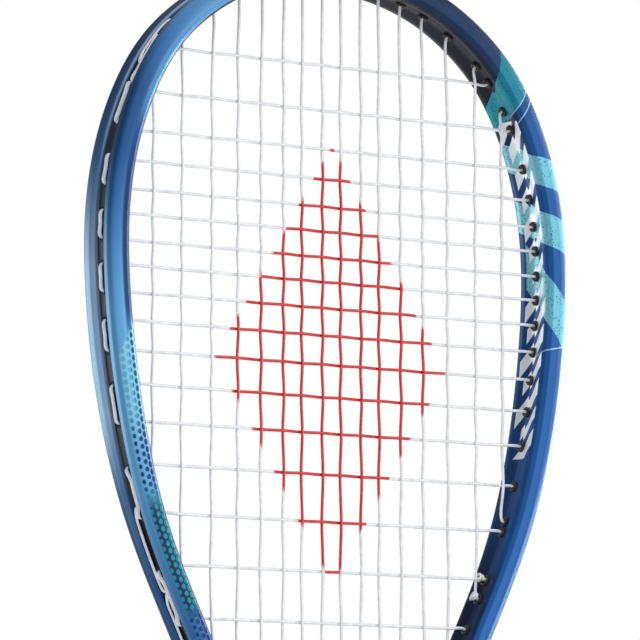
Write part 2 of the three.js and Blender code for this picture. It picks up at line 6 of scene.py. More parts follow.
import bmesh
import bpy
import numpy as np
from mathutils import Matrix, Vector


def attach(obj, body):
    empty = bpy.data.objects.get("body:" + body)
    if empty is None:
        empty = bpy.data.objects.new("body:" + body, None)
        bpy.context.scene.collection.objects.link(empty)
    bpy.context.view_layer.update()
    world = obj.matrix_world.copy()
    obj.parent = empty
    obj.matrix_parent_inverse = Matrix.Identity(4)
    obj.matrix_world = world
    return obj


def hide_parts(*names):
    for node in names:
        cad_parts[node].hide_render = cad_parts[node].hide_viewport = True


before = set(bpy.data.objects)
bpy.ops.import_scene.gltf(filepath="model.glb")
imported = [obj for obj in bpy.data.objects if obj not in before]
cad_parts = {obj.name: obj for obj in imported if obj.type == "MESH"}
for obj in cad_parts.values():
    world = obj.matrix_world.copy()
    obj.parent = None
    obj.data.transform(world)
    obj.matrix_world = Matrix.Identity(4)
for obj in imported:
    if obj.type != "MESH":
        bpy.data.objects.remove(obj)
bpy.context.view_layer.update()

MM = 0.001

# ---- the racket's driving dimensions, as in the CAD model ----

# Half of the frame's centre line, from the top of the head down the right leg into the shaft: (x, z).
HALF_LINE = [(0, 680), (25, 677.4), (46.8, 670.4), (61.6, 661.7), (76.6, 648.4), (90.3, 626.8)]
HALF_LINE += [(98.4, 603.5), (102.4, 572), (101.7, 549), (99.3, 526), (94.8, 500), (85.3, 466)]
HALF_LINE += [(74.3, 440), (67.2, 425.5), (49.4, 389), (32.6, 354), (19.6, 325), (11.2, 303)]
HALF_LINE += [(7.2, 283), (6, 262)]
# Distances out from the centre line: the plain walls, the groove's floor and lip, and the inner wall.
HALF_BEAM = 4.8
FLOOR_W, LIP_W, WALL_W = 1.2, 3.5, -3.3
# Low on the head the section is slimmer, and the groove fades out beside the bridge.
SLIM, SLIM_Z = 0.87, (430, 530)
GROOVE_END_Z, GROOVE_FADE = 398, 12

# The main strings' distances from the middle, and the cross strings' heights from the top down.
MAIN_X = [4.25, 13.9, 22.4, 32.8, 43.4, 55.3, 68.9, 81.9]
CROSS_Z = [643.9, 626.2, 611, 599.2, 588.4, 578.7, 568.6, 559, 548.8, 538.1]
CROSS_Z += [526.8, 514.1, 500.1, 484.1, 465.8, 446.6, 426.8]
MAINS = 2 * len(MAIN_X)
BRIDGE_MAINS = 5  # on each side of the middle
STRING_R = 0.6
MAIN_WEAVE, CROSS_WEAVE = 0.42, 0.72  # how far each string swings off the middle of the bed
LANE, LANE_W, LANE_LEAD = 1.7, 3.0, 5  # a string's lane in the groove: aside, outward, and its run-in
FREE_CROSSES = (1, 12)  # from the first to the second, a cross string has the groove to itself
EDGE_MAIN_CROSS, EDGE_MAIN_LIFT = 14, 4.6  # the edge main ends that far above this cross string
MAIN_TIE, CROSS_TIE = 6, {-1: 1, 1: 15}  # strings whose holes take a tied-off tail as well
OWN_Y, TAIL_Y = 0.6, 0.9  # how far the two strings in such a hole lie from its middle
STRIP_JOINT = (12, 13)  # the side strip and the lower strip meet between these cross strings

STRIP_W, STRIP_HALF, STRIP_END, STRIP_GAP = (1.5, 2.2), 2.5, 3.6, 0.15
BARREL_END = -4.5
BARREL_R, BARREL_BORE = 2.05, 0.9
TIE_R, TIE_BORE = 2.3, 1.5
BARREL_SIDES = 24
RIM_WALL, RIM_RISE = 0.75, 0.35  # the low rim round each hole in the groove
BUMPER_X = 41.5

BRIDGE_LINE = [(-62, 404), (-44, 394.6), (-22, 387.5), (0, 385.2), (22, 387.5), (44, 394.6), (62, 404)]
BRIDGE_FOOT_H, BRIDGE_LANE, BRIDGE_BARREL_END = -2.4, -3.3, 4.3
BRIDGE_STRIP_H, BRIDGE_STRIP_X = -1.7, 45.2
BRIDGE_END_X, BRIDGE_SINK = 57, 1  # the yoke ends that far past the legs' centre lines, inside their skin
BRIDGE_FLARE_X = (42, 58)

# The shaft's (height, half width, half depth), and the handle's half widths and depths.
SHAFT_ROWS = [(6, 9.6, 8.6), (150, 9.8, 8.8), (215, 10.4, 9.4), (268, 11.4, 10.2), (302, 11.4, 10.2)]
HANDLE, HEEL, HEEL_TOP = (13.2, 11.4), (14.6, 12.8), 44
OVAL_POWER = 0.78  # their ovals are a little squarer than ellipses


# ---- curves ----


def smoothstep(value, low, high):
    t = np.clip((np.asarray(value, float) - low) / (high - low), 0, 1)
    return t * t * (3 - 2 * t)


def spline(points, samples):
    """A natural cubic spline through the points, sampled evenly from the first to the last."""
    p = np.asarray(points, float)
    knots = np.concatenate([[0], np.cumsum(np.linalg.norm(np.diff(p, axis=0), axis=1))])
    h = np.diff(knots)
    n = len(p)
    system = np.eye(n)
    right = np.zeros_like(p)
    for i in range(1, n - 1):
        system[i, i - 1 : i + 2] = [h[i - 1], 2 * (h[i - 1] + h[i]), h[i]]
        right[i] = 6 * ((p[i + 1] - p[i]) / h[i] - (p[i] - p[i - 1]) / h[i - 1])
    bend = np.linalg.solve(system, right)
    t = np.linspace(0, knots[-1], samples)
    i = np.clip(np.searchsorted(knots, t, side="right") - 1, 0, n - 2)
    a, b = (knots[i + 1] - t)[:, None], (t - knots[i])[:, None]
    hi = h[i][:, None]
    cubic = (bend[i] * a**3 + bend[i + 1] * b**3) / (6 * hi)
    return cubic + (p[i] / hi - bend[i] * hi / 6) * a + (p[i + 1] / hi - bend[i + 1] * hi / 6) * b


class Line:
    """A curve in the plane y = 0, looked up by distance along it. Out is 90 degrees to its left."""

    def __init__(self, points, samples):
        self.p = spline(points, samples)
        self.s = np.concatenate([[0], np.cumsum(np.linalg.norm(np.diff(self.p, axis=0), axis=1))])
        self.length = self.s[-1]
        along = np.gradient(self.p, self.s, axis=0)
        self.t = along / np.linalg.norm(along, axis=1)[:, None]

    def at(self, s):
        """x, z and the direction along the line at distance s."""
        look = [np.interp(s, self.s, column) for column in (*self.p.T, *self.t.T)]
        return np.array(look[:2]).T, np.array(look[2:]).T

    def point(self, s, w, y):
        """The point w to the left of the line at s, and y off its plane."""
        p, t = self.at(s)
        return np.array([p[..., 0] - t[..., 1] * w, y + 0 * p[..., 0], p[..., 1] + t[..., 0] * w]).T

    def ring(self, s, section):
        """A section, given as a loop of (w, y), placed at distance s."""
        return self.point(np.full(len(section), s), section[:, 0], section[:, 1])


hoop = Line([(-x, z) for x, z in HALF_LINE[:0:-1]] + HALF_LINE, 9001)
MIDDLE = hoop.length / 2
bridge = Line(BRIDGE_LINE, 1001)


def barrel_at(axis, value, part):
    """The distance along the right half of the hoop where a barrel's end has the given x or z."""
    s = hoop.s[hoop.s >= MIDDLE]
    ends = hoop.point(s, BARREL_END, 0)
    widest = np.argmax(ends[:, 0])
    run = {"top": slice(0, widest + 1), "low": slice(widest, None), "all": slice(None)}[part]
    s, ends = s[run], ends[run, 0 if axis == "x" else 2]
    order = np.argsort(ends)
    return float(np.interp(value, ends[order], s[order]))


def on_side(side, s):
    return s if side > 0 else hoop.length - s


def cross_end(side, k):
    return on_side(side, barrel_at("z", CROSS_Z[k], "all"))


def main_top(side, i):
    return on_side(side, barrel_at("x", MAIN_X[i], "top"))


def main_foot(side, i):
    if i == len(MAIN_X) - 1:
        return on_side(side, barrel_at("z", CROSS_Z[EDGE_MAIN_CROSS], "all") - EDGE_MAIN_LIFT)
    return on_side(side, barrel_at("x", MAIN_X[i], "low"))


def bridge_at(x):
    return float(np.interp(x, bridge.p[:, 0], bridge.s))


def bridge_point(x, h):
    return bridge.point(bridge_at(x), h, 0.0)


# Every hole in the hoop: (distance along it, whether two strings share it).
HOLES = []
for side in (-1, 1):
    HOLES += [(cross_end(side, k), k == CROSS_TIE[side]) for k in range(len(CROSS_Z))]
    HOLES += [(main_top(side, i), False) for i in range(len(MAIN_X))]
    HOLES += [(main_foot(side, i), i == MAIN_TIE) for i in range(BRIDGE_MAINS, len(MAIN_X))]
BRIDGE_XS = sorted(side * x for side in (-1, 1) for x in MAIN_X[:BRIDGE_MAINS])


# ---- mesh making ----


class Shape:
    """Vertices, faces and per-vertex paint coordinates gathered for one piece."""

    def __init__(self):
        self.verts, self.faces, self.paint = [], [], []

    def add(self, verts, faces, paint=None):
        start = sum(len(v) for v in self.verts)
        self.verts.append(np.asarray(verts, float))
        self.faces += [tuple(start + i for i in face) for face in faces]
        self.paint.append(np.zeros((len(verts), 3)) if paint is None else np.asarray(paint, float))

    def loft(self, rings, paint=None, caps=(True, True), flip=False):
        """A skin over rings of points, each a closed loop."""
        rings = np.asarray(rings, float)
        n, m = rings.shape[:2]
        i, j = np.meshgrid(np.arange(n - 1), np.arange(m), indexing="ij")
        a, b = i * m + j, i * m + (j + 1) % m
        faces = np.stack([a, b, b + m, a + m], -1).reshape(-1, 4)
        faces = [tuple(f) for f in (faces[:, ::-1] if flip else faces).tolist()]
        first, last = tuple(range(m))[::-1], tuple(range((n - 1) * m, n * m))
        if flip:
            first, last = first[::-1], last[::-1]
        faces += [cap for cap, wanted in zip((first, last), caps) if wanted]
        self.add(rings.reshape(-1, 3), faces, None if paint is None else np.reshape(paint, (-1, 3)))

    def turned(self, origin, axis, profile):
        """A closed ring: the profile, a loop of (radius, height along axis), turned round the axis."""
        axis = np.asarray(axis, float) / np.linalg.norm(axis)
        side = np.cross(axis, (0, 1, 0))
        side = side / np.linalg.norm(side)
        other = np.cross(axis, side)
        angles = np.linspace(0, 2 * np.pi, BARREL_SIDES, endpoint=False)
        around = np.cos(angles)[:, None] * side + np.sin(angles)[:, None] * other
        profile = np.asarray(profile, float)
        rings = origin + around[:, None, :] * profile[None, :, :1] + axis * profile[None, :, 1:]
        m = len(profile)
        i, j = np.meshgrid(np.arange(BARREL_SIDES), np.arange(m), indexing="ij")
        k, l = (i + 1) % BARREL_SIDES, (j + 1) % m
        faces = np.stack([i * m + j, i * m + l, k * m + l, k * m + j], -1).reshape(-1, 4)
        self.add(rings.reshape(-1, 3), [tuple(f) for f in faces.tolist()])

    def mesh(self, name):
        """The gathered faces as a mesh in metres, with the paint coordinates as its beam attribute."""
        mesh = bpy.data.meshes.new(name)
        mesh.from_pydata((np.concatenate(self.verts) * MM).tolist(), [], self.faces)
        layer = mesh.attributes.new("beam", "FLOAT_VECTOR", "POINT")
        layer.data.foreach_set("vector", np.concatenate(self.paint).astype(np.float32).ravel())
        return mesh

    def object(self, name, material, nodes, sharp=35):
        """Makes the finished piece from the gathered faces."""
        mesh = self.mesh(name)
        mesh.validate()
        finish_piece(mesh, name, material, nodes, sharp)


def finish_piece(mesh, name, material, nodes, sharp):
    """A piece with its material: it rides on the racket and stands for the named CAD nodes."""
    mesh.shade_smooth()
    mesh.set_sharp_from_angle(angle=math.radians(sharp))
    mesh.materials.append(material)
    piece = bpy.data.objects.new(name, mesh)
    bpy.context.scene.collection.objects.link(piece)
    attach(piece, "root")
    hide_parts(*nodes)


def lofted(name, material, nodes, rings, paint=None, flip=False, sharp=35):
    """A piece that is one skin over rings of points."""
    shape = Shape()
    shape.loft(rings, paint, flip=flip)
    shape.object(name, material, nodes, sharp)


def both_halves(half):
    """The corners of a half section for y > 0, and their mirror images for y < 0."""
    return half + [(w, -y, r) for w, y, r in half[::-1]]


NEARLY_STRAIGHT = 1.56  # half of a corner's angle, from which on it is left almost as it is
SIDE_SHARE = 0.48  # the most of a side that one corner's arc takes up


def rounded(corners, steps):
    """A closed outline (x, y, radius) with each corner replaced by an arc of steps + 1 points."""
    corners = np.asarray(corners, float)
    places, radii = corners[:, :2], corners[:, 2]
    out = []
    for i, radius in enumerate(radii):
        before, here, after = places[i - 1], places[i], places[(i + 1) % len(places)]
        u, v = before - here, after - here
        lu, lv = np.linalg.norm(u), np.linalg.norm(v)
        u, v = u / lu, v / lv
        half = math.acos(np.clip(u @ v, -1, 1)) / 2
        reach = 0.1
        if half < NEARLY_STRAIGHT:
            reach = min(radius / math.tan(half), SIDE_SHARE * lu, SIDE_SHARE * lv)
        for t in np.linspace(0, 1, steps + 1):
            start, end = here + u * reach, here + v * reach
            out.append((1 - t) ** 2 * start + 2 * t * (1 - t) * here + t * t * end)
    return np.array(out)


def circle(count):
    """A circle of radius 1 as a loop of (x, y)."""
    angles = np.linspace(0, 2 * np.pi, count, endpoint=False)
    return np.stack([np.cos(angles), np.sin(angles)], -1)


def oval(half_width, half_depth, count):
    """A flattened oval as a loop of (x, y)."""
    loop = circle(count)
    return [half_width, half_depth] * np.sign(loop) * abs(loop) ** OVAL_POWER


def at_height(loop, z):
    """A loop of (x, y) as a ring of points at height z."""
    return np.column_stack([loop, np.full(len(loop), z)])


# ---- node trees ----


def srgb(r, g, b):
    """A colour given as 0 to 255, in the linear values that a shader takes."""
    c = np.array([r, g, b]) / 255
    linear = np.where(c <= 0.04045, c / 12.92, ((c + 0.055) / 1.055) ** 2.4)
    return (*linear.tolist(), 1.0)


class Field:
    """A socket in a node tree. Arithmetic on it adds Math nodes."""

    def __init__(self, tree, socket):
        self.tree, self.socket = tree, socket

    def math(self, operation, *others):
        node = self.tree.nodes.new("ShaderNodeMath")
        node.operation = operation
        for slot, value in zip(node.inputs, (self, *others)):
            feed(self.tree, slot, value)
        return Field(self.tree, node.outputs[0])

    def __add__(self, other):
        return self.math("ADD", other)

    def __sub__(self, other):
        return self.math("SUBTRACT", other)

    def __rsub__(self, other):
        return (self * -1).math("ADD", other)

    def __mul__(self, other):
        return self.math("MULTIPLY", other)

    def __abs__(self):
        return self.math("ABSOLUTE")

    def fraction(self):
        return self.math("FRACT")

    def floor(self):
        return self.math("FLOOR")

    def most(self, other):
        return self.math("MAXIMUM", other)

    def step(self, low, high):
        """0 below low and 1 above high, or the other way round when high is the smaller."""
        node = self.tree.nodes.new("ShaderNodeMapRange")
        node.interpolation_type = "SMOOTHSTEP"
        node.inputs["From Min"].default_value = min(low, high)
        node.inputs["From Max"].default_value = max(low, high)
        node.inputs["To Min"].default_value = 0 if low < high else 1
        node.inputs["To Max"].default_value = 1 if low < high else 0
        feed(self.tree, node.inputs["Value"], self)
        return Field(self.tree, node.outputs["Result"])

    def band(self, low, high, soft):
        """1 between low and high."""
        return self.step(low - soft, low + soft) * self.step(high + soft, high - soft)


def feed(tree, slot, value):
    if isinstance(value, Field):
        tree.links.new(value.socket, slot)
    else:
        slot.default_value = value


class Paint:
    """A material being made: its tree, its shader and the coordinates that its nodes use."""

    def __init__(self, name, **sockets):
        self.material = bpy.data.materials.new(name)
        self.material.use_nodes = True
        self.tree = self.material.node_tree
        self.shader = self.tree.nodes["Principled BSDF"]
        for socket, value in sockets.items():
            self.shader.inputs[socket.replace("_", " ")].default_value = value
        self.place = self.out("ShaderNodeTexCoord", "Object")
        self.colour = None

    def out(self, kind, output, inputs=(), **settings):
        node = self.tree.nodes.new(kind)
        for key, value in settings.items():
            setattr(node, key, value)
        for key, value in dict(inputs).items():
            feed(self.tree, node.inputs[key], value)
        return Field(self.tree, node.outputs[output])

    def split(self, vector):
        node = self.tree.nodes.new("ShaderNodeSeparateXYZ")
        feed(self.tree, node.inputs[0], vector)
        return [Field(self.tree, o) for o in node.outputs]

    def beam(self):
        """Millimetres along the beam from the top, round its section, and across its depth."""
        return self.split(self.out("ShaderNodeAttribute", "Vector", attribute_name="beam"))

    def noise(self, scale, detail=2.0):
        inputs = {"Vector": self.place, "Scale": scale, "Detail": detail}
        return self.out("ShaderNodeTexNoise", "Fac", inputs)

    def cells(self, scale):
        return self.out("ShaderNodeTexVoronoi", "Distance", {"Vector": self.place, "Scale": scale})

    def mix(self, share, a, b):
        """A tone between two others. Each is a Field or a colour of 0 to 255."""
        node = self.tree.nodes.new("ShaderNodeMix")
        node.data_type = "RGBA"
        feed(self.tree, node.inputs["Factor"], share)
        for slot, tone in ((6, a), (7, b)):
            feed(self.tree, node.inputs[slot], tone if isinstance(tone, Field) else srgb(*tone))
        return Field(self.tree, node.outputs[2])

    def ramp(self, value, stops):
        """A colour that follows value through (position, colour of 0 to 255) stops."""
        node = self.tree.nodes.new("ShaderNodeValToRGB")
        feed(self.tree, node.inputs[0], value)
        ramp = node.color_ramp
        while len(ramp.elements) < len(stops):
            ramp.elements.new(1.0)
        for element, (position, colour) in zip(ramp.elements, stops):
            element.position, element.color = position, srgb(*colour)
        return Field(self.tree, node.outputs[0])

    def over(self, share, tone):
        """Lays a tone over the colour so far."""
        self.colour = self.mix(share, self.colour, tone)

    def set(self, **sockets):
        for socket, value in sockets.items():
            feed(self.tree, self.shader.inputs[socket.replace("_", " ")], value)
        return self

    def bump(self, height, distance, strength):
        inputs = {"Height": height, "Distance": distance, "Strength": strength}
        return self.set(Normal=self.out("ShaderNodeBump", "Normal", inputs))


# ---- materials ----


def from_dots(u, v):
    """Distance from the nearest dot of a grid with staggered rows."""
    du = (u + v.floor() * 0.5).fraction() - 0.5
    dv = v.fraction() - 0.5
    return (du * du + dv * dv).math("SQRT")


HALF_GIRTH = 29.25  # from the middle of the groove round the section to the middle of the inner wall
INNER_WALL = (20.6, 21.6)  # the inner wall starts between these distances round the section
PAINT_Z = (260, 686)
SLASH_PITCH, SLASH_LEAN = 10.8, 1.2
DOT_PITCH = (2.9, 2.45)  # along the beam, and round its section

# Blues along the racket: (share of the way through PAINT_Z, colour of 0 to 255).
FAR_BLUE = [(0.0, (10, 56, 112)), (0.33, (14, 66, 130)), (0.42, (54, 118, 172)), (0.52, (88, 150, 196))]
FAR_BLUE += [(0.65, (84, 144, 192)), (0.7, (68, 126, 178)), (0.75, (40, 96, 152)), (0.8, (18, 72, 126))]
# The lighter stops from 0.9 up, at the top of the head, are partly a painted highlight.
FAR_BLUE += [(0.86, (16, 68, 120)), (0.9, (40, 92, 146)), (0.94, (70, 120, 168)), (1.0, (66, 116, 166))]
NEAR_BLUE = [(0.0, (10, 56, 110)), (0.4, (18, 80, 144)), (0.62, (16, 78, 140)), (0.86, (14, 72, 132))]
NEAR_BLUE += [(0.92, (10, 46, 84)), (1.0, (8, 34, 66))]
# The pearl is the outer wall's own paint; its pale middle, about halfway up the head, is partly a painted
# reflection of the white backdrop.
PEARL_AND_REFLECTION = [(0.0, (16, 56, 106)), (0.42, (30, 80, 132)), (0.5, (70, 112, 158)), (0.57, (148, 180, 214))]
PEARL_AND_REFLECTION += [(0.7, (140, 172, 208)), (0.8, (54, 94, 140)), (0.9, (18, 48, 88)), (1.0, (20, 46, 82))]


def frame_places(m):
    """Where a point of the frame lies, for the graphics.

    The graphics look the same after half a turn about the racket's axis. On the near side, which is the
    front of the right rail and the back of the left one, q runs round the section from the groove over the
    crown and across the inner wall. On the far side it runs back from there. Run is the distance from the
    top of the head.
    """
    along, girth, depth = m.beam()
    height = m.split(m.place)[2] * 1000
    right = along.step(-30, 30)
    front = depth.step(0.4, -0.4)
    near = right * front + (1 - right) * (1 - front)
    q = (HALF_GIRTH - girth) * (1 - near * 2) + HALF_GIRTH
    sides = {"near": near, "far": 1 - near, "inner": girth.step(*INNER_WALL)}
    return SimpleNamespace(run=abs(along), girth=girth, height=height, q=q, **sides)


def lay_blues(m, at):
    """The ground: blues that change along the racket, with a pearly outer wall and a navy inner one, and
    painted highlights, reflection and shade among them.
    """
    share = (at.height - PAINT_Z[0]) * (1 / (PAINT_Z[1] - PAINT_Z[0]))
    m.colour = m.mix(at.near, m.ramp(share, FAR_BLUE), m.ramp(share, NEAR_BLUE))
    m.over(at.girth.step(13.5, 12.0) * at.near, m.ramp(share, PEARL_AND_REFLECTION))
    # A pale line along the near side's groove lip, near the top of the head, is a painted highlight on the
    # lip's rounded edge.
    lip = at.girth.band(4.6, 5.8, 0.4) * at.near * at.run.step(156, 126)
    m.over(lip * 0.8, (130, 162, 200))
    # The far side's inner facet has a pale painted highlight at the top of the head and deep blue painted
    # shade beside its middle.
    facet = at.girth.band(16.5, 20.2, 0.7) * at.far
    m.over(facet * at.run.step(132, 112) * 0.6, (96, 150, 196))
    m.over(facet * at.run.band(138, 206, 10) * 0.95, (6, 46, 92))
    # The inner wall turns navy towards its far half and at both ends of the head. The navy is darkest at the
    # top of the head, where it is painted shade, and it reaches round the far side's inner corner as a
    # painted dark line of shade.
    middle_navy = m.mix(at.height.step(440, 474), (10, 30, 62), (18, 64, 122))
    navy = m.mix(at.height.step(596, 640), middle_navy, (12, 20, 38))
    head_ends = at.height.step(606, 640).most(at.height.step(466, 436) * 0.8)
    corner = at.girth.step(19.8, 20.4) * at.far
    m.over((at.inner * (at.q.step(25, 34) * 0.9).most(head_ends)).most(corner), navy)


def lay_patches(m, at):
    """Teal and pale patches with ragged speckles, and the thin lines beside them."""
    run, q = at.run, at.q
    teal = (run - q * 0.82).step(68.2, 68.4) * (run - q * 0.5).step(90.9, 90.7)
    pale = (run + q * 0.5).band(132, 144.6, 0.12).most((run + q * 0.45).band(155, 168.4, 0.12))
    wedge = (run + q * 1.18).band(196.5, 215.5, 0.15) * q.step(34, 33)
    pale = pale.most(wedge) * at.near.most(at.inner)
    lit = q.step(11.5, 12.2) * q.step(39.6, 39.2)
    speck = m.cells(900).step(0.36, 0.24) * m.noise(260, 2).step(0.42, 0.5)
    # The teal and pale tones are lighter on the inner wall: painted light that makes up for the shade that
    # falls there.
    teal_tone = m.mix(at.inner, (12, 112, 134), (28, 146, 164))
    pale_tone = m.mix(at.inner, (98, 166, 186), (128, 196, 208))
    m.over(teal * lit, m.mix(speck * 0.8, teal_tone, (8, 80, 108)))
    m.over(pale * lit, m.mix(speck * 0.85, pale_tone, (30, 104, 136)))
    lines = (run - q * 0.5).band(91.0, 91.5, 0.1).most((run - q * 0.6).band(93.6, 94.1, 0.1))
    lines = lines.most((run - q * 0.3).band(195.6, 196.1, 0.1)) * q.band(12, 27, 0.2) * at.near
    m.over(lines * 0.8, (150, 196, 222))


def lay_slashes(m, at):
    """White slashes of many lengths beside the string holes, all leaning one way."""
    cell = (at.run - at.q * SLASH_LEAN) * (1 / SLASH_PITCH)

    def chance(offset):
        inputs = {"W": cell.floor() + offset}
        return m.out("ShaderNodeTexWhiteNoise", "Value", inputs, noise_dimensions="1D")

    width = chance(0) * 0.12 + 0.22
    slash = (abs(cell.fraction() - 0.5) - width).step(0.03, -0.03)
    lower_end = (at.q - 22 - chance(40.5) * 2.5).step(-0.1, 0.1)
    upper_end = (at.q - 30 - chance(0) * 5).step(0.1, -0.1)
    slash = slash * lower_end * upper_end * at.run.band(106, 246, 0.3)
    m.over(slash * at.near.most(at.inner), (232, 238, 244))


def lay_halftone(m, at):
    """A pale net on the far side, with dots that darken and spread further down."""
    run, girth = at.run, at.girth
    radius = from_dots(run * (1 / DOT_PITCH[0]), girth * (1 / DOT_PITCH[1]))
    spread = girth + (run - 203).most(0) * 0.62
    opening = spread.step(19.6, 20.6) * run.step(202, 206) * at.far * girth.band(12.2, 21.6, 0.4)
    net = radius.step(0.34, 0.42) * opening * run.step(254, 236)
    crown = girth.band(8.2, 12.6, 0.6) * at.near * run.band(200, 244, 6)
    net = net.most(radius.step(0.3, 0.4) * crown)
    m.over(opening * run.step(262, 236) * 0.35, (96, 160, 190))
    m.over(net * 0.75, (116, 182, 200))
    ground = girth.step(12.2, 13.4) * girth.step(21.8, 21.2) * at.far
    m.over(ground * run.step(266, 276) * run.step(322, 312) * 0.92, (12, 34, 72))
    dark = girth.step(15.6, 17.2)
    size = run.step(205, 260) * 0.06 + 0.26 + dark * 0.12
    dots = (radius - size).step(0.04, -0.04) * opening
    first_tone = m.mix(dark, (80, 146, 180), (12, 74, 108))
    low_tone = m.mix(run.band(268, 316, 3), (14, 44, 92), (26, 124, 140))
    m.over(dots * 0.95, m.mix(run.step(236, 248), first_tone, low_tone))


def lay_low_highlight_and_shade(m, at):
    """A painted highlight line and a painted dark edge of shade at the near side's outer corner, low on the
    head.
    """
    low_head = at.near * at.height.step(500, 460) * at.height.step(380, 420)
    m.over(low_head * at.girth.band(12.9, 14.4, 0.5) * 0.6, (112, 156, 200))
    m.over(low_head * at.girth.band(8.5, 12.3, 0.4) * 0.7, (14, 40, 80))


def frame_paint():
    """Metallic blue lacquer with its graphics and its painted highlights, reflection and shade, laid one over
    the other.
    """
    gloss = {"Specular_IOR_Level": 0.25, "Coat_Weight": 0.14, "Coat_Roughness": 0.1}
    m = Paint("frame_lacquer", Metallic=0.55, Roughness=0.42, **gloss)
    at = frame_places(m)
    for lay in (lay_blues, lay_patches, lay_slashes, lay_halftone, lay_low_highlight_and_shade):
        lay(m, at)
    m.set(Base_Color=m.colour, Roughness=m.noise(60, 3) * 0.06 + 0.38)
    return m.bump(m.noise(35, 1), 0.00004, 0.25).material


def nylon(name, tone, roughness, grain):
    m = Paint(name, Roughness=roughness, Specular_IOR_Level=0.4)
    tones = tone, [c + 14 for c in tone]
    worn = m.noise(220, 2) * 0.2 + (roughness - 0.1)
    m.set(Base_Color=m.mix(m.noise(90, 3).step(0.35, 0.7), *tones), Roughness=worn)
    return m.bump(m.noise(grain, 3), 0.00006, 0.5).material


LOZENGE_Z, LOZENGE_HALF = 0.527, (0.054, 0.086)  # in metres: its middle, and its half width and height


def string_coat():
    """White string with a plain red lozenge printed across the bed."""
    m = Paint("string_coat", Roughness=0.34, Coat_Weight=0.3)
    x, _, z = m.split(m.place)
    lozenge = abs(x) * (1 / LOZENGE_HALF[0]) + abs(z - LOZENGE_Z) * (1 / LOZENGE_HALF[1])
    print_share = (lozenge + m.noise(700, 2) * 0.03).step(1.03, 1.0)
    pale = m.mix(m.noise(300, 2).step(0.3, 0.7), (214, 217, 221), (230, 232, 236))
    red = m.mix(m.noise(500, 3).step(0.3, 0.75), (214, 24, 36), (178, 16, 28))
    m.set(Base_Color=m.mix(print_share, pale, red))
    fibres = m.out("ShaderNodeTexWave", "Fac", {"Vector": m.place, "Scale": 420.0, "Distortion": 2.0})
    return m.bump(fibres + m.noise(1500, 2), 0.00003, 0.4).material


HOLE_PITCH = 3.2


def grip_tape():
    """Black polyurethane tape: fine grain, rows of small perforations and a worn sheen."""
    m = Paint("grip_polyurethane", Roughness=0.62, Sheen_Weight=0.15)
    across, around, edge = m.beam()
    from_hole = from_dots(across * (1 / HOLE_PITCH), around * (1 / HOLE_PITCH))
    hole = from_hole.step(0.17, 0.13) * edge.band(0.12, 0.86, 0.01)
    wear = m.noise(30, 4).step(0.45, 0.75)
    skin = m.mix(wear, (30, 30, 33), (44, 44, 48))
    m.set(Base_Color=m.mix(hole, skin, (9, 9, 10)), Roughness=wear * -0.12 + 0.66)
    grain = m.cells(1400) * 0.5 + m.noise(900, 3) * 0.5
    return m.bump(grain * 0.35 - hole * 2.0, 0.0002, 0.7).material


def foam():
    m = Paint("foam_pallet", Roughness=0.9)
    m.set(Base_Color=m.mix(m.noise(60, 4), (196, 176, 130), (222, 206, 164)))
    return m.bump(m.cells(1200), 0.0003, 0.5).material


def steel():
    m = Paint("drawn_steel", Metallic=1.0, Roughness=0.3)
    m.set(Base_Color=m.mix(m.noise(400, 2), (150, 152, 156), (196, 198, 202)))
    return m.bump(m.noise(1200, 2), 0.00003, 0.3).material


def badge_plastic():
    m = Paint("badge_gloss", Metallic=0.3, Roughness=0.2, Coat_Weight=0.8)
    x, y, _ = m.split(m.place)
    ring = (x * x + y * y).math("SQRT").band(0.0052, 0.0058, 0.0001)
    blue = m.mix(m.noise(300, 2), (34, 84, 146), (46, 102, 168))
    m.set(Base_Color=m.mix(ring, blue, (196, 208, 218)))
    return m.bump(m.noise(600, 2), 0.00003, 0.3).material


def floor_paint():
    m = Paint("pale_floor", Roughness=0.7)
    m.set(Base_Color=m.mix(m.noise(3, 2), (236, 236, 236), (240, 240, 240)))
    return m.material


LACQUER = frame_paint()
BLACK_NYLON = nylon("black_nylon", (26, 23, 26), 0.42, 900)
BUMPER_NYLON = nylon("bumper_nylon", (28, 27, 30), 0.5, 1400)
CAP_PLASTIC = nylon("cap_plastic", (26, 26, 28), 0.5, 1600)
RUBBER = nylon("collar_rubber", (24, 24, 26), 0.7, 1100)
TAPE_VINYL = nylon("tape_vinyl", (20, 20, 22), 0.3, 200)
STRING = string_coat()


# ---- frame: hoop, legs and shaft in one skin ----

# The section's corners for y > 0, from the groove's floor over the crown to the inner wall: (w, y, radius).
SECTION = [
    (FLOOR_W, 2.9, 0.35),
    (LIP_W, 3.3, 0.5),
    (4.65, 5.1, 1.3),
    (4.85, 7.6, 2),
    (4.3, 9.8, 1.5),
    (0.5, 10.85, 3),
    (-2.4, 10.4, 1.6),
    (-4.2, 9.3, 1.1),
    (-4.85, 6.6, 8),
    (WALL_W, 1.4, 9),
]
ARC_STEPS = 4
INNER_CORNER = 7  # the corner between the crown and the inner wall
HOOP_RINGS, SHAFT_RINGS = 330, 60
CROTCH_Z, CROTCH_ROUND = 301, 9
# Down the legs the sections turn level through the first heights, are drawn in to the crotch below the
# second, and turn into the halves of one shaft through the third.
LEVEL_Z, DRAWN_Z, MERGE_Z = (335, 380), 345, (270, 316)


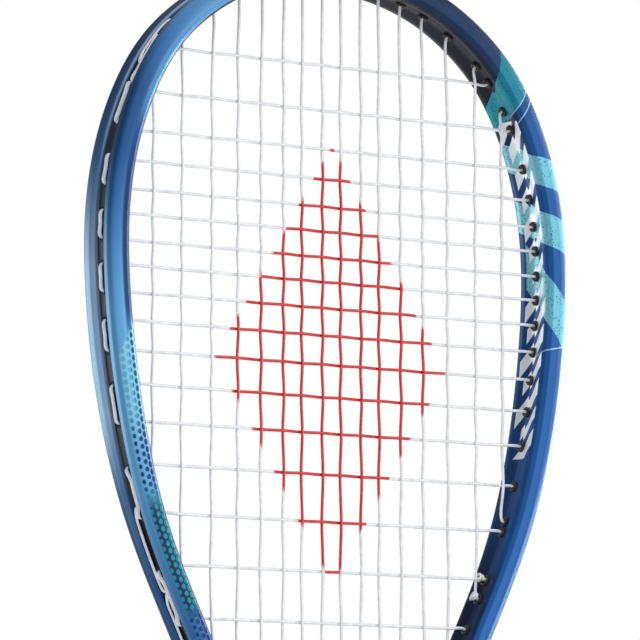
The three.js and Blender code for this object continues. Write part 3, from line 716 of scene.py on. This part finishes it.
def beam_corners(z):
    """The section at a height on the line, with its groove fading out down the legs."""
    groove = smoothstep(z, GROOVE_END_Z - GROOVE_FADE, GROOVE_END_Z)
    slim = SLIM + (1 - SLIM) * smoothstep(z, *SLIM_Z)
    wall = HALF_BEAM * slim
    half = []
    for w, y, r in SECTION:
        if w in (FLOOR_W, LIP_W):
            half.append((wall + (w - wall) * groove, y, r))
        elif w == WALL_W:
            half.append((-wall + (w + wall) * groove, y, r))
        else:
            half.append((w * slim, y * slim, r))
    return both_halves(half)


def girth_of(section):
    """Distance round the section from the middle of the groove, the same on both halves."""
    steps = np.linalg.norm(np.diff(section, axis=0, append=section[:1]), axis=1)
    run = np.concatenate([[0], np.cumsum(steps)])[:-1] + section[0, 1]
    whole = steps.sum()
    return np.minimum(run, whole - run)


def shaft_half(z):
    """Half width and half depth of the shaft."""
    return [np.interp(z, [row[0] for row in SHAFT_ROWS], [row[k] for row in SHAFT_ROWS]) for k in (1, 2)]


def frame_rings():
    """Rings of the right half from the top of the head to the shaft's foot, with their paint coordinates."""
    per = ARC_STEPS + 1
    count = 2 * len(SECTION) * per
    inner = per * INNER_CORNER + per // 2
    girth = girth_of(rounded(beam_corners(600), ARC_STEPS))
    # Each outline point's place on the shaft: its angle from the side, or its share across the inner face.
    turn = np.clip(girth / girth[inner], 0, 1) * math.pi / 2
    across = np.clip((girth - girth[inner]) / (girth.max() - girth[inner]), 0, 1)
    side = np.where(np.arange(count) < count // 2, 1, -1)
    half_line = hoop.length - MIDDLE
    stations = [(*hoop.at(s), s - MIDDLE) for s in np.linspace(MIDDLE, hoop.length, HOOP_RINGS)]
    foot_x, foot_z = HALF_LINE[-1]
    for z in np.linspace(foot_z, SHAFT_ROWS[0][0], SHAFT_RINGS)[1:]:
        stations.append(((foot_x, z), (0.0, -1.0), half_line + foot_z - z))
    rings, paint = [], []
    for (cx, cz), (tx, tz), along in stations:
        section = rounded(beam_corners(cz), ARC_STEPS)
        level = smoothstep(cz, *LEVEL_Z[::-1])
        out = np.array([-tz, tx])
        used = (1 - level) * out + level * np.array([1.0, 0.0])
        used = used / (used @ out)
        x = cx + used[0] * section[:, 0]
        z = cz + used[1] * section[:, 0]
        if cz < DRAWN_Z:
            outer_x, inner_x = x.max(), x.min()
            rise = np.clip((cz - CROTCH_Z) / CROTCH_ROUND, 0, 1)
            wanted = inner_x * math.sqrt(1 - (1 - rise) ** 2)
            x = outer_x - (outer_x - x) * (outer_x - wanted) / (outer_x - inner_x)
        half_width, half_depth = shaft_half(cz)
        oval_x = np.where(across > 0, 0, half_width * np.cos(turn) ** OVAL_POWER)
        oval_y = half_depth * side * np.where(across > 0, 1 - across, np.sin(turn) ** OVAL_POWER)
        merge = smoothstep(cz, *MERGE_Z[::-1])
        x = np.maximum(x + (oval_x - x) * merge, 0)
        if cz <= CROTCH_Z:
            x = np.where(across > 0, 0, x)
        y = section[:, 1] + (oval_y - section[:, 1]) * merge
        rings.append(np.stack([x, y, z], -1))
        paint.append(np.stack([np.full(count, along), girth, y], -1))
    return np.array(rings), np.array(paint)


def frame_skin():
    """The two halves joined along the middle, without the faces between them."""
    rings, paint = frame_rings()
    mirror = [-1, 1, 1]
    shape = Shape()
    shape.loft(rings, paint, caps=(False, True))
    shape.loft(rings * mirror, paint * mirror, caps=(False, True), flip=True)
    mesh = shape.mesh("frame_skin")
    bm = bmesh.new()
    bm.from_mesh(mesh)
    between = [f for f in bm.faces if all(abs(v.co.x) < 1e-7 for v in f.verts)]
    bmesh.ops.delete(bm, geom=between, context="FACES")
    bmesh.ops.remove_doubles(bm, verts=bm.verts, dist=2e-6)
    loose = [v for v in bm.verts if not v.link_faces]
    bmesh.ops.delete(bm, geom=loose, context="VERTS")
    bmesh.ops.recalc_face_normals(bm, faces=bm.faces)
    bm.to_mesh(mesh)
    bm.free()
    finish_piece(mesh, "frame_skin", LACQUER, ["frame_tube"], 30)


# ---- throat bridge ----

# The section's corners for y > 0: (height above the bridge's line, y, radius).
BRIDGE_SECTION = [
    (2.6, 0.9, 0.5),
    (3.7, 4.2, 1.2),
    (3.2, 7.6, 1.2),
    (0, 9, 1.8),
    (-3.2, 7.8, 1.2),
    (-3.9, 5, 0.8),
    (-3.3, 3.3, 0.3),
    (-1.4, 2.9, 0.35),
]
BRIDGE_PAINT = (262, 18, 4)  # a place on the beam that has the bridge's colours
BRIDGE_RINGS = 90


def throat_bridge():
    line_x, line_z = np.array(HALF_LINE[::-1]).T
    rings, paint = [], []
    for s in np.linspace(bridge_at(-BRIDGE_END_X), bridge_at(BRIDGE_END_X), BRIDGE_RINGS):
        flare = smoothstep(abs(bridge.at(s)[0][0]), *BRIDGE_FLARE_X)
        half = [(h * (1 + 0.55 * flare), y * (1 - 0.06 * flare), r) for h, y, r in BRIDGE_SECTION]
        ring = bridge.ring(s, rounded(both_halves(half), ARC_STEPS))
        leg = np.interp(ring[:, 2], line_z, line_x) + BRIDGE_SINK
        ring[:, 0] = np.clip(ring[:, 0], -leg, leg)
        rings.append(ring)
        paint.append(np.full(ring.shape, BRIDGE_PAINT, float))
    lofted("throat_yoke", LACQUER, ["throat_bridge"], rings, paint, flip=True)


# ---- grommets and bumper ----


def barrel_profile(radius, bore, root, end):
    """A grommet barrel as a loop of (radius, height), with a rounded rim and a countersunk bore."""
    return [
        (bore, root),
        (radius + 0.1, root),
        (radius + 0.1, end - 1.4),
        (radius, end - 0.55),
        (radius - 0.1, end - 0.28),
        (radius - 0.3, end - 0.08),
        (radius - 0.6, end),
        (bore + 0.35, end - 0.05),
        (bore + 0.1, end - 0.25),
        (bore, end - 0.6),
    ]


def add_barrels(shape, low, high):
    """The barrels between two distances, each with a low rim in the groove where its string dives in."""
    for s, is_tie in HOLES:
        if low < s < high:
            (x, z), (tx, tz) = hoop.at(s)
            radius, bore = (TIE_R, TIE_BORE) if is_tie else (BARREL_R, BARREL_BORE)
            origin, inward = np.array([x, 0, z]), np.array([tz, 0, -tx])
            barrel = barrel_profile(radius, bore, -STRIP_W[0], -BARREL_END)
            rim = barrel_profile(bore + RIM_WALL, bore, STRIP_W[0], STRIP_W[1] + RIM_RISE)
            shape.turned(origin, inward, barrel)
            shape.turned(origin, -inward, rim)


def strip_sweep(shape, corners, low, high, step):
    section = rounded(both_halves(corners), 3)
    stations = np.linspace(low, high, max(3, round((high - low) / step)))
    shape.loft([hoop.ring(s, section) for s in stations])


# Half sections of a grommet strip and of the bumper: (w, y, radius).
STRIP_CORNERS = [(STRIP_W[0], STRIP_HALF, 0.1), (2.5, STRIP_HALF, 0.2), (2.5, 2.15, 0.15)]
STRIP_CORNERS += [(STRIP_W[1], 2.0, 0.1)]
BUMPER_CORNERS = [
    (STRIP_W[0], STRIP_HALF, 0.1),
    (3.7, 2.95, 0.3),
    (5.1, 5.3, 0.5),
    (5.2, 8.3, 0.2),
    (5.95, 7.8, 0.5),
    (6, 5, 1),
    (4.6, 2.6, 0.6),
    (STRIP_W[1], 2.5, 0.2),
]

bumper_edge = barrel_at("x", BUMPER_X, "top") - STRIP_END
lower_edge = sum(cross_end(1, k) for k in STRIP_JOINT) / 2
strip_foot = main_foot(1, BRIDGE_MAINS) + STRIP_END


def grommet_strips():
    side_span = (bumper_edge + STRIP_GAP, lower_edge - STRIP_GAP)
    lower_span = (lower_edge + STRIP_GAP, strip_foot)
    for part, span in (("side", side_span), ("lower", lower_span)):
        for side, word in ((-1, "left"), (1, "right")):
            low, high = sorted(on_side(side, s) for s in span)
            shape = Shape()
            strip_sweep(shape, STRIP_CORNERS, low, high, 2.5)
            add_barrels(shape, low, high)
            node = f"{part}_grommet_strip_{word}"
            shape.object(f"{node}_moulding", BLACK_NYLON, [node])


def bumper():
    low, high = hoop.length - bumper_edge + STRIP_GAP, bumper_edge - STRIP_GAP
    shape = Shape()
    strip_sweep(shape, BUMPER_CORNERS, low, high, 2)
    add_barrels(shape, low, high)
    shape.object("bumper_moulding", BUMPER_NYLON, ["bumper_guard"])


def bridge_strip():
    half = [(BRIDGE_STRIP_H, STRIP_HALF, 0.15), (BRIDGE_FOOT_H, STRIP_HALF, 0.2)]
    section = rounded(both_halves(half), 3)
    shape = Shape()
    stations = np.linspace(bridge_at(-BRIDGE_STRIP_X), bridge_at(BRIDGE_STRIP_X), 50)
    shape.loft([bridge.ring(s, section) for s in stations], flip=True)
    for x in BRIDGE_XS:
        foot, end = (bridge_point(x, h)[2] for h in (BRIDGE_FOOT_H, BRIDGE_BARREL_END))
        origin = np.array([x, 0, foot])
        barrel = barrel_profile(BARREL_R, BARREL_BORE, 0.1, end - foot)
        rim = barrel_profile(BARREL_BORE + RIM_WALL, BARREL_BORE, 0, RIM_RISE)
        shape.turned(origin, (0, 0, 1), barrel)
        shape.turned(origin, (0, 0, -1), rim)
    shape.object("bridge_grommet_moulding", BLACK_NYLON, ["bridge_grommet_strip"])


# ---- strings ----

BEND = 0.9  # how far before and after a hole's mouth a string starts and ends its turn
CLEAR = 0.4  # how far a string's points stay off a barrel's end
STRING_SPACING, STRING_SIDES = 1.4, 8
TUCK = 1.5  # a main passes a cross string only where the cross reaches this far past it
KNOT_TURNS, KNOT_R, KNOT_PITCH = 1.75, 1.2, 1.15
CLOSEST = 0.15

def mouth(s, toward, lane, offset=0.0):
    """Corners of a string leaving the beam: inside end, outer mouth, then its lane along the groove."""
    return [
        hoop.point(s, BARREL_END - CLEAR, offset),
        hoop.point(s, 0.0, offset),
        hoop.point(s, LANE_W - BEND, offset),
        hoop.point(s + BEND * toward, LANE_W + 0.05, offset * 0.9 + lane * 0.06),
        hoop.point(s + LANE_LEAD * toward, LANE_W, lane),
    ]


def groove_path(start, end, lane, offset_start=0.0, offset_end=0.0):
    toward = math.copysign(1, end - start)
    first = mouth(start, toward, lane, offset_start)
    last = mouth(end, -toward, lane, offset_end)[::-1]
    length = abs(end - start)
    if length < 2 * LANE_LEAD:
        return first[:4] + [hoop.point((start + end) / 2, LANE_W, lane)] + last[1:]
    spots = np.linspace(start, end, max(2, round(length / 7) + 1))
    spots = [s for s in spots if min(abs(s - start), abs(s - end)) > LANE_LEAD + 1]
    return first + [hoop.point(s, LANE_W, lane) for s in spots] + last


def bridge_path(start, end):
    """Corners of a string that goes down through the bridge at one x and up at another."""
    side = math.copysign(1, end - start)

    def descent(x, way):
        top = bridge_point(x, BRIDGE_BARREL_END)[2] + CLEAR
        low = bridge_point(x, BRIDGE_LANE + BEND)[2]
        turn = bridge_point(x + BEND * way, BRIDGE_LANE)
        return [np.array([x, 0, z]) for z in (top, (top + low) / 2, low)] + [turn]

    return descent(start, side) + descent(end, -side)[::-1]


def main_side(m):
    return -1 if m < MAINS // 2 else 1


def main_index(m):
    return MAINS // 2 - 1 - m if m < MAINS // 2 else m - MAINS // 2


def main_x(m):
    return main_side(m) * MAIN_X[main_index(m)]


def top_of(m):
    return main_top(main_side(m), main_index(m))


def foot_of(m):
    return main_foot(main_side(m), main_index(m))


def weave(m, k):
    """1 where the main passes behind the cross, -1 where it passes in front."""
    return 1 if (m + k) % 2 else -1


CROSS_REACH = [hoop.point(cross_end(1, k), BARREL_END, 0)[0] for k in range(len(CROSS_Z))]


def passes(m, k):
    return CROSS_REACH[k] > abs(main_x(m)) + TUCK


def main_run(m):
    x = main_x(m)
    return [np.array([x, MAIN_WEAVE * weave(m, k), z]) for k, z in enumerate(CROSS_Z) if passes(m, k)]


def cross_run(k):
    z = CROSS_Z[k]
    return [np.array([main_x(m), -CROSS_WEAVE * weave(m, k), z]) for m in range(MAINS) if passes(m, k)]


def knot(s, tail, own):
    """Points of a tail that leaves its barrel, winds round the string beside it and ends in a short stub."""
    _, (tx, tz) = hoop.at(s)
    inward, flat = np.array([tz, 0, -tx]), np.array([tx, 0, tz])
    across = np.array([0, math.copysign(1, tail), 0])
    centre = hoop.point(s, BARREL_END - 2 * CLEAR, own)
    points = []
    for t in np.linspace(0, KNOT_TURNS, round(KNOT_TURNS * 10)):
        angle = 2 * math.pi * t + math.pi / 2
        spoke = across * math.sin(angle) + flat * math.cos(angle)
        points.append(centre + KNOT_R * spoke + inward * KNOT_PITCH * t)
    stub = points[-1] + 1.1 * across + 0.6 * flat - 0.9 * inward
    return [stub, *points[::-1], hoop.point(s, BARREL_END - CLEAR / 2, tail)]


def smooth_path(points):
    """A Catmull-Rom line through the points, less those too close to the one before."""
    kept = [points[0]]
    for p in points[1:]:
        if np.linalg.norm(p - kept[-1]) > CLOSEST:
            kept.append(p)
    p = np.array(kept)
    p = np.vstack([2 * p[0] - p[1], p, 2 * p[-1] - p[-2]])
    out = []
    for a, b, c, d in zip(p, p[1:], p[2:], p[3:]):
        ab, bc, cd = [math.sqrt(max(1e-3, np.linalg.norm(v))) for v in (b - a, c - b, d - c)]
        t1 = ((b - a) / ab - (c - a) / (ab + bc) + (c - b) / bc) * bc
        t2 = ((c - b) / bc - (d - b) / (bc + cd) + (d - c) / cd) * bc
        steps = max(2, round(np.linalg.norm(c - b) / STRING_SPACING))
        for t in np.linspace(0, 1, steps, endpoint=False):
            out.append(
                (2 * t**3 - 3 * t**2 + 1) * b + (t**3 - 2 * t**2 + t) * t1
                + (3 * t**2 - 2 * t**3) * c + (t**3 - t**2) * t2
            )
    return np.array(out + [p[-2]])


def string_piece(name, points, nodes):
    """One round string along the points, pressed flatter where it lies in the groove."""
    points = smooth_path(points)
    step = np.diff(points, axis=0)
    along = np.vstack([step[:1], step[1:] + step[:-1], step[-1:]])
    along /= np.linalg.norm(along, axis=1)[:, None]
    angles = np.linspace(0, 2 * np.pi, STRING_SIDES, endpoint=False)[:, None]
    radii = np.full(len(points), STRING_R)
    radii[0] = radii[-1] = STRING_R * 0.7
    spots, ways = hoop.p[::10], hoop.t[::10]
    side = np.array([0.0, 1.0, 0.0])
    rings = []
    for p, t, r in zip(points, along, radii):
        side = side - t * (side @ t)
        side /= np.linalg.norm(side)
        other = np.cross(t, side)
        nearest = np.argmin(np.hypot(spots[:, 0] - p[0], spots[:, 1] - p[2]))
        way = ways[nearest]
        outward = (p[[0, 2]] - spots[nearest]) @ np.array([-way[1], way[0]])
        press = float(smoothstep(outward, 1.8, 2.8)) * abs(side[1])
        wide, thin = r * (1 + 0.75 * press), r * (1 - 0.1 * press)
        rings.append(p + wide * np.cos(angles) * side + thin * np.sin(angles) * other)
    lofted(name, STRING, nodes, rings, sharp=60)


def main_string():
    """One length: up and down every main run, tied off beside both edge mains."""
    last = MAINS - 1

    def tail(m, tie):
        return knot(foot_of(tie), TAIL_Y, -OWN_Y) + groove_path(foot_of(tie), foot_of(m), LANE, TAIL_Y, 0)

    def own(m):
        return -OWN_Y if main_index(m) == MAIN_TIE else 0.0

    points = tail(0, 1)
    for m in range(MAINS):
        is_up = m % 2 == 0
        points += main_run(m)[:: -1 if is_up else 1]
        if m == last:
            break
        if is_up:
            is_edge = main_index(m) + main_index(m + 1) == 2 * len(MAIN_X) - 3
            points += groove_path(top_of(m), top_of(m + 1), LANE if is_edge else 0)
        elif main_index(m) < BRIDGE_MAINS:
            points += bridge_path(main_x(m), main_x(m + 1))
        else:
            points += groove_path(foot_of(m), foot_of(m + 1), LANE, own(m), own(m + 1))
    points += tail(last, last - 1)[::-1]
    string_piece("main_string_length", points, ["main_string"])


def cross_string():
    """One length: to and fro from the top cross run to the lowest, tied off on both sides."""
    last = len(CROSS_Z) - 1
    first_tie, last_tie = (cross_end(side, CROSS_TIE[side]) for side in (-1, 1))
    points = knot(first_tie, -TAIL_Y, OWN_Y)
    points += groove_path(first_tie, cross_end(-1, 0), -LANE, -TAIL_Y, 0)
    for k in range(last + 1):
        side = 1 if k % 2 == 0 else -1
        points += cross_run(k)[::side]
        if k < last:
            offsets = [OWN_Y if n == CROSS_TIE[side] else 0.0 for n in (k, k + 1)]
            lane = 0 if FREE_CROSSES[0] <= k <= FREE_CROSSES[1] else -LANE
            points += groove_path(cross_end(side, k), cross_end(side, k + 1), lane, *offsets)
    points += groove_path(cross_end(1, last), last_tie, -LANE, 0, -TAIL_Y)
    points += knot(last_tie, -TAIL_Y, OWN_Y)[::-1]
    string_piece("cross_string_length", points, ["cross_string"])


# ---- handle ----

CAP_LIP, CAP_TOP = (18.6, 16.8), 24
BADGE_R = 7.5
WRAP_Z, WRAP_PITCH, WRAP_TUCK = (8.4, 201), 25.0, 12  # it is pressed in over its last 12 mm
TAPE_Z, TAPE_THICK = (191, 203.2), 0.7
COLLAR_Z, COLLAR_RIB = (203.3, 219), 3.0
WRAP_SIDES, HANDLE_SIDES, BADGE_SIDES = 96, 72, 64


def handle_half(z):
    """Half width and half depth of the handle's foam at a height."""
    t = smoothstep(z, 18, HEEL_TOP + 6)
    return [heel + (top - heel) * t for heel, top in zip(HEEL, HANDLE)]


def grip_wrap():
    """The tape wound upwards: each turn lies over the edge of the one below it."""
    angles = np.arange(WRAP_SIDES) / WRAP_SIDES
    base = oval(1, 1, WRAP_SIDES)
    rings, paint = [], []
    for z in np.linspace(*WRAP_Z, 260):
        half = handle_half(z)
        over_cap = 1.5 * (1 - smoothstep(z, CAP_TOP - 1, CAP_TOP + 12))
        turn = ((z - WRAP_Z[0]) / WRAP_PITCH - angles) % 1
        lap = 0.95 * smoothstep(turn, 0, 0.045) - 0.55 * smoothstep(turn, 0.04, 1)
        lap = lap - 0.4 * smoothstep(turn, 0.9, 1)
        dish = -0.22 * np.exp(-(((turn - 0.5) / 0.04) ** 2))
        grow = 0.75 + over_cap + lap + dish
        if z > WRAP_Z[1] - WRAP_TUCK:
            grow = np.minimum(grow, 1.75) * 0.96
        rings.append(at_height(base * (half + grow[:, None]), z))
        girth = angles * math.pi * sum(half)
        paint.append(np.stack([turn * WRAP_PITCH, girth, turn], -1))
    lofted("grip_tape_winding", grip_tape(), ["grip_wrap"], rings, paint, sharp=50)


def ovals(rows):
    """Rings of the handle's oval, from (z, half width, half depth) rows."""
    return [at_height(oval(a, b, HANDLE_SIDES), z) for z, a, b in rows]


def finishing_tape():
    rows = []
    for z in np.linspace(*TAPE_Z, 30):
        edge = sum(0.35 * math.exp(-(((z - end) / 0.35) ** 2)) for end in TAPE_Z)
        grow = 2.05 + TAPE_THICK - edge + 0.05 * math.sin(z * 2.6)
        rows.append((z, *(half + grow for half in HANDLE)))
    lofted("finishing_tape_band", TAPE_VINYL, ["grip_finishing_tape"], ovals(rows))


def collar():
    """A ribbed sleeve that narrows from the tape to the shaft."""
    low, high = COLLAR_Z
    rows = [(low, 14.6, 12.9), (low + 0.4, 15.3, 13.5), (low + 1.2, 15.5, 13.7)]
    for z in np.linspace(low + 2, high - 2, 34):
        taper = smoothstep((z - low) / (high - low), 0.2, 1)
        rib = 0.22 * math.cos((z - low) * 2 * math.pi / COLLAR_RIB)
        rows.append((z, 15.6 - 3.5 * taper + rib, 13.8 - 2.8 * taper + rib))
    rows += [(high - 0.8, 12, 11), (high - 0.25, 11.8, 10.8), (high, 11.2, 10.2)]
    lofted("collar_moulding", RUBBER, ["grip_collar"], ovals(rows))


def butt_cap():
    """The cup, from the badge's recess over the end face and its rounded lip to the sleeve round the heel."""
    rim, base = circle(HANDLE_SIDES), oval(1, 1, HANDLE_SIDES)
    lip, edge_r = np.array(CAP_LIP), BADGE_R + 0.6
    recess = [(1.15, BADGE_R * 0.98), (1.15, BADGE_R + 0.28), (0.35, BADGE_R + 0.3), (0.05, edge_r)]
    rings = [at_height(rim * r, z) for z, r in recess]
    for t in np.linspace(0.15, 1, 7):
        rings.append(at_height(rim * edge_r * (1 - t) + base * (lip - 1.6) * t, 0.0))
    rounding = [(0.12, 1.1), (0.5, 0.5), (1.1, 0.12), (1.9, 0), (6.2, 0), (7, 0.1), (7.6, 0.5), (7.95, 1.2)]
    rings += [at_height(base * (lip - cut), z) for z, cut in rounding]
    rings += [at_height(base * (np.array(HEEL) + 1.5), z) for z in (8.0, CAP_TOP)]
    lofted("butt_cap_moulding", CAP_PLASTIC, ["butt_cap"], rings)


def butt_badge():
    """A shallow dome, from its back over its edge to the middle of its face."""
    rim = circle(BADGE_SIDES)
    rings = [at_height(rim * r, z) for r, z in ((0.2, 1.05), (BADGE_R, 1.05), (BADGE_R, 0.8))]
    for angle in np.linspace(0.02, 1, 12) * math.pi / 2:
        rings.append(at_height(rim * max(BADGE_R * math.cos(angle), 0.15), 0.8 - 0.5 * math.sin(angle)))
    lofted("butt_badge_dome", badge_plastic(), ["butt_badge"], rings)


def inner_nodes():
    """The pieces inside the handle keep their CAD shapes and get their materials."""
    looks = {"handle_core": foam(), "butt_staple_left": steel(), "butt_staple_right": steel()}
    for name, material in looks.items():
        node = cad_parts[name]
        node.data.materials.clear()
        node.data.materials.append(material)


# ---- studio, in metres ----

FLOOR_R, FLOOR_Z, FLOOR_SIDES = 6, -0.0005, 48
HEAD_MIDDLE = (0, 0, 0.5)


def camera():
    """The photo's camera: a long lens, a little below the level of the head and to its left."""
    azimuth, elevation, distance = math.radians(-34.226), math.radians(-6.917), 1.93075
    level = math.cos(elevation)
    back = Vector((math.sin(azimuth) * level, -math.cos(azimuth) * level, math.sin(elevation)))
    data = bpy.data.cameras.new("photo_camera")
    data.sensor_width, data.lens, data.clip_end = 36, 280.78, 60
    eye = bpy.data.objects.new("photo_camera", data)
    bpy.context.scene.collection.objects.link(eye)
    eye.location = Vector((-0.00538, 0, 0.54408)) + back * distance
    eye.rotation_euler = back.to_track_quat("Z", "Y").to_euler()
    bpy.context.scene.camera = eye


def floor():
    mesh = bpy.data.meshes.new("studio_floor")
    disc = at_height(circle(FLOOR_SIDES) * FLOOR_R, FLOOR_Z)
    mesh.from_pydata(disc.tolist(), [], [tuple(range(FLOOR_SIDES))])
    mesh.materials.append(floor_paint())
    piece = bpy.data.objects.new("studio_floor", mesh)
    bpy.context.scene.collection.objects.link(piece)


def soft_light(name, place, size, power, spread):
    """A rectangular lamp that looks at the middle of the head."""
    data = bpy.data.lights.new(name, "AREA")
    data.shape, data.size, data.size_y = "RECTANGLE", *size
    data.energy, data.spread = power, math.radians(spread)
    lamp = bpy.data.objects.new(name, data)
    bpy.context.scene.collection.objects.link(lamp)
    lamp.location = place
    lamp.rotation_euler = (Vector(place) - Vector(HEAD_MIDDLE)).to_track_quat("Z", "Y").to_euler()


def studio():
    """A world that the camera sees as white and that lights the racket from the front and above."""
    world = bpy.data.worlds.new("studio")
    bpy.context.scene.world = world
    world.use_nodes = True
    tree = world.node_tree
    tree.nodes.clear()
    seen, unseen = (tree.nodes.new("ShaderNodeBackground") for _ in range(2))
    for background in (seen, unseen):
        background.inputs["Color"].default_value = (1, 1, 1, 1)
    seen.inputs["Strength"].default_value = 1.0
    sky = Field(tree, tree.nodes.new("ShaderNodeTexCoord").outputs["Generated"])
    parts = tree.nodes.new("ShaderNodeSeparateXYZ")
    feed(tree, parts.inputs[0], sky)
    ahead = Field(tree, parts.outputs[1]).step(0.3, -0.5)
    above = Field(tree, parts.outputs[2]).step(0.6, 0.9)
    feed(tree, unseen.inputs["Strength"], ahead * 0.6 + above * 0.9 + 0.16)
    rays = tree.nodes.new("ShaderNodeLightPath")
    mix = tree.nodes.new("ShaderNodeMixShader")
    out = tree.nodes.new("ShaderNodeOutputWorld")
    tree.links.new(rays.outputs["Is Camera Ray"], mix.inputs[0])
    tree.links.new(unseen.outputs[0], mix.inputs[1])
    tree.links.new(seen.outputs[0], mix.inputs[2])
    tree.links.new(mix.outputs[0], out.inputs["Surface"])
    soft_light("key", (0.85, -2.35, 1.1), (2.2, 1.8), 9, 110)
    soft_light("side", (2.1, -0.1, 0.75), (0.35, 1.7), 12, 110)
    soft_light("back", (-1.2, 2.0, 0.6), (1.6, 0.9), 2.5, 80)
    view = bpy.context.scene.view_settings
    view.view_transform = "Standard"
    view.look = "None"


camera()
frame_skin()
throat_bridge()
grommet_strips()
bumper()
bridge_strip()
main_string()
cross_string()
grip_wrap()
finishing_tape()
collar()
butt_cap()
butt_badge()
inner_nodes()
floor()
studio()
